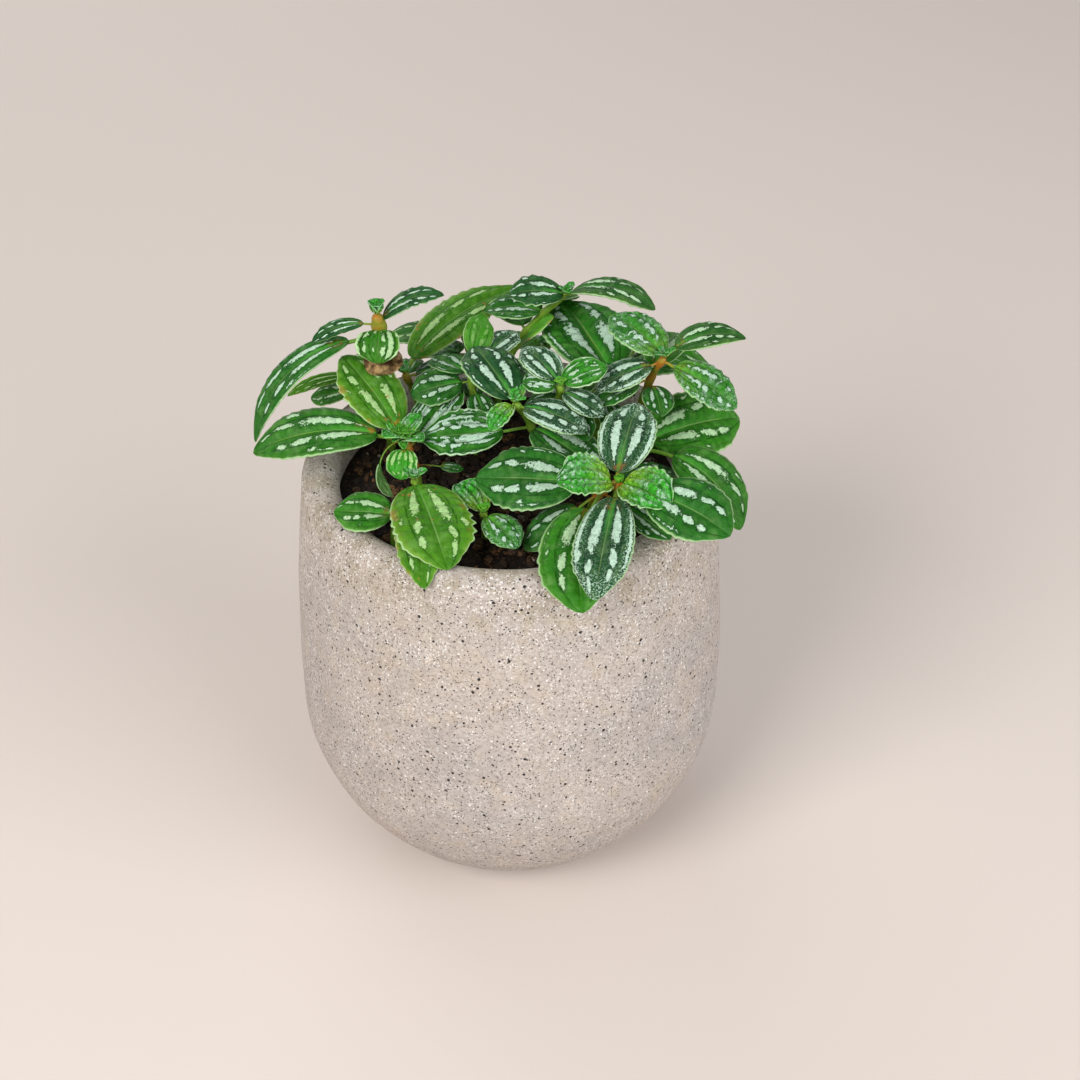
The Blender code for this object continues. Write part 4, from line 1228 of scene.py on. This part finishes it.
def blade_material(settings):
    """The blade's upper face: a green ground, silver patches, dark side veins and a pale margin, with
    painted shadow beside the patches and painted shade in its creases.
    """
    board = Board("silver_patched_leaf", settings.deep_green, roughness=0.4, Specular_IOR_Level=0.10)
    plan = BladePlan(board)
    paint_ground(board, plan, settings)
    ground = board.colour
    found = silver_patches(board, plan)
    plain = 1 - plan.crinkle.rise(0.75, 1.0)
    silver = found.rise(1.06, 0.90) * (plain * 0.8 + 0.2)
    # The glints on young puckers are laid into the silver: partly the blade's own silver spots, partly
    # painted highlights.
    silver = silver.most(glints(board, plan) * plan.crinkle.rise(0.5, 1.0) * 0.9)
    silver = silver * plan.silver.rise(0.0, 0.25)
    dull = board.mix(0.85, ground, settings.pale_green)
    shine = board.mix(plan.silver.rise(0.2, 0.8), dull, settings.silver)
    grain = board.noise(0.0005, 2)
    bent_out = plan.out + (board.noise(0.004) - 0.5) * 0.08
    side_veins = line(bent_out, SIDE_VEIN, 0.030) * (1 - plan.ribbed)
    side_veins = side_veins.most(line(board.math("FRACT", bent_out * RIBS + 0.5), 0.5, 0.14) * plan.ribbed)
    side_veins = side_veins * board.noise(0.003, 2).rise(0.35, 0.55)
    rungs = plan.ladder.rise(0.10, 0.0) * grain.rise(0.4, 0.6) * (plan.crinkle * 0.5 + 0.1)
    dark = side_veins.most(rungs) * plan.out.rise(0.02, 0.1)
    # The ground next to each silver patch is darkened towards teal: partly the blade's own darker teal,
    # partly painted shadow beside the raised patch.
    patch_shadow = found.rise(2.0, 1.1) * plain * plan.silver.rise(0.05, 0.55)
    board.shade(patch_shadow * 0.80, (0.35, 0.50, 0.55))
    # Painted shade: the crevices between the puckers are darkened, partly as a fine net of veins, partly as
    # the shade in those creases; the side and cross veins darken with them.
    shaded_crevices = crevices(board, 0.0019) * (plan.crinkle.rise(0.4, 1.0) * 0.45 + 0.15)
    shaded_crevices = shaded_crevices * board.noise(0.0016).rise(0.35, 0.60)
    board.shade(dark.most(shaded_crevices) * 0.6, (0.22, 0.40, 0.25))
    rich = plan.silver.rise(0.75, 1.0)
    flecks = board.noise(0.00045, 2).rise(0.50, 0.60)
    edge = plan.out.rise(0.58, 0.90).most(plan.along.rise(0.68, 0.90)) * rich
    board.paint(flecks * (edge * 0.60 + rich * 0.10), settings.silver)
    silver = silver * (1 - side_veins * 0.5) * (grain.rise(0.25, 0.55) * 0.35 + 0.65)
    silver = silver * (1 - plan.age.rise(1.0, 1.5)) * (plan.silver.rise(0.0, 0.6) * 0.35 + 0.65)
    board.paint(silver * 0.95, shine)
    base = plan.out.rise(0.17, 0.04) * plan.along.rise(0.55, 0.0) * (1 - plan.age.least(1.0))
    board.paint(base * 0.6, settings.fresh_green)
    midrib = plan.out.rise(0.045, 0.015) * plan.along.rise(0.98, 0.6)
    board.paint(midrib * 0.45, board.mix(0.4, ground, settings.pale_green))
    yellowed = plan.out.rise(0.72, 1.0) * plan.age.least(1.0)
    board.paint(yellowed * 0.5, settings.margin_yellow)
    margin = plan.out.rise(0.93, 0.98) * plan.size.rise(0.08, 0.40)
    board.paint(margin * 0.7, board.mix(0.35, settings.pale_green, settings.silver))
    blush = plan.along.rise(0.22, 0.03) * plan.out.rise(0.6, 0.1) * plan.blush * plain
    blush = blush * board.noise(0.0018, 2).rise(0.45, 0.60)
    board.paint(blush * 0.45, settings.stem_red)
    rust = board.noise(0.004, 3).rise(0.56, 0.64) * plan.out.rise(0.72, 0.98)
    rust = rust.most(board.noise(0.0032, 2).rise(0.68, 0.72))
    board.paint(rust * plan.age.rise(0.4, 0.6) * 0.7, settings.rust)
    dry = board.mix(board.noise(0.003, 4).rise(0.35, 0.62), settings.brown, settings.tan)
    board.paint(plan.age.rise(1.2, 1.8), dry)
    blisters = board.noise(0.0022, 2) * (plan.crinkle + 0.3) + grain * 0.3 - shaded_crevices * 0.8
    relief = silver * 0.35 - dark * 0.5 - midrib * 0.6 + blisters + plan.ladder * plan.crinkle * 0.35
    return board.finish(roughness=silver * 0.14 + 0.34, height=relief, distance=0.0005)


def underside_material(settings):
    """The blade's underside: paler and duller, with its veins standing out."""
    board = Board("leaf_underside", settings.deep_green, roughness=0.6, Specular_IOR_Level=0.15)
    plan = BladePlan(board)
    paint_ground(board, plan, settings)
    veins = line(plan.out, SIDE_VEIN, 0.06).most(plan.ladder.rise(0.15, 0.0) * 0.6)
    board.paint(0.16, settings.pale_green)
    board.shade(board.noise(0.0009, 3).rise(0.4, 0.7) * 0.5, (0.6, 0.7, 0.55))
    board.paint(veins * 0.5, settings.pale_green)
    board.paint(plan.age.rise(1.2, 1.8), settings.brown)
    return board.finish(height=veins, distance=0.0003)


def stem_material(settings):
    """Stems and leaf stalks: juicy green, reddish where leaves join."""
    board = Board("stem", settings.stem_green, roughness=0.42, Specular_IOR_Level=0.25)
    redness = board.attribute("stem")[0]
    blush = redness * (board.noise(0.002, 2).rise(0.3, 0.6) * 0.5 + 0.5)
    board.paint(blush, settings.stem_red)
    board.shade(board.noise(0.0012, 2).rise(0.5, 0.7) * 0.3, (0.6, 0.6, 0.5))
    return board.finish(height=board.noise(0.0007), distance=0.0002)


def floor_material(studio):
    """A plain matt floor."""
    return Board("floor", studio.floor, roughness=0.9, Specular_IOR_Level=0.2).finish()


class PLANT_OT_pot(bpy.types.Operator):
    """Builds the cement pot"""

    bl_idname = "potted_plant.pot"
    bl_label = "Cement Pot"

    def execute(self, context):
        pot = context.scene.potted_plant.pot
        shape = turned(pot_outline(pot), POT_SIDES)
        roughen(shape)
        piece = new_piece("cement_pot", shape, [cement_material(pot)], "pot")
        cut_drains(pot, piece)
        return {"FINISHED"}


class PLANT_OT_soil(bpy.types.Operator):
    """Builds the potting soil and its loose crumbs"""

    bl_idname = "potted_plant.soil"
    bl_label = "Potting Soil"

    def execute(self, context):
        plant = context.scene.potted_plant
        shape = turned(soil_outline(plant.pot), SOIL_SIDES)
        crumble(plant.pot, shape)
        new_piece("soil_bed", shape, [soil_material(plant.soil)], "soil")
        crumbs = loose_crumbs(plant.pot, plant.soil)
        new_piece("soil_crumbs", crumbs, [crumb_material(plant.soil)], "soil")
        return {"FINISHED"}


class PLANT_OT_shoots(bpy.types.Operator):
    """Builds every leafy shoot: its blades in one piece, its stem and leaf stalks in another"""

    bl_idname = "potted_plant.shoots"
    bl_label = "Leafy Shoots"

    def execute(self, context):
        settings = context.scene.potted_plant.leaf
        faces = [blade_material(settings), underside_material(settings)]
        bark = stem_material(settings)
        for shoot in SHOOTS:
            leaves = list(shoot.leaves) + bud_leaves(shoot)
            blades = new_piece(shoot.name.replace("shoot", "blades"), blade_shape(shoot, leaves, settings),
                               faces, shoot.name)
            thicken(blades, settings)
            new_piece(shoot.name.replace("shoot", "stems"), stem_shape(shoot, leaves), [bark],
                      shoot.name)
        return {"FINISHED"}


class PLANT_OT_stage(bpy.types.Operator):
    """Sets the plain floor, the soft lights and the camera"""

    bl_idname = "potted_plant.stage"
    bl_label = "Floor, Lights and Camera"

    def execute(self, context):
        studio = context.scene.potted_plant.studio
        lay_floor(studio)
        for name, place, size, shade in LIGHTS:
            hang_light(name, getattr(studio, name), place, size, shade)
        light_sky(studio)
        place_camera(studio)
        context.scene.view_settings.view_transform = "Standard"
        return {"FINISHED"}


class PLANT_PT_panel(bpy.types.Panel):
    """The potted plant's sizes, colours and operators"""

    bl_label = "Potted Plant"
    bl_idname = "PLANT_PT_panel"
    bl_space_type = "VIEW_3D"
    bl_region_type = "UI"
    bl_category = "Potted Plant"

    def draw(self, context):
        plant = context.scene.potted_plant
        for group, operators in PANEL_ROWS:
            box = self.layout.box()
            settings = getattr(plant, group)
            for name in settings.bl_rna.properties.keys():
                if name not in ("rna_type", "name"):
                    box.prop(settings, name)
            for operator in operators:
                box.operator(operator)


PANEL_ROWS = (
    ("pot", ("potted_plant.pot",)),
    ("soil", ("potted_plant.soil",)),
    ("leaf", ("potted_plant.shoots",)),
    ("studio", ("potted_plant.stage",)),
)

CLASSES = (PotSettings, SoilSettings, LeafSettings, StudioSettings, PlantSettings,
           PLANT_OT_pot, PLANT_OT_soil, PLANT_OT_shoots, PLANT_OT_stage, PLANT_PT_panel)


def register():
    for item in CLASSES:
        bpy.utils.register_class(item)
    bpy.types.Scene.potted_plant = PointerProperty(type=PlantSettings)


def unregister():
    del bpy.types.Scene.potted_plant
    for item in reversed(CLASSES):
        bpy.utils.unregister_class(item)


def main():
    """Builds everything."""
    register()
    bpy.ops.potted_plant.pot()
    bpy.ops.potted_plant.soil()
    bpy.ops.potted_plant.shoots()
    bpy.ops.potted_plant.stage()


if __name__ == "__main__":
    main()
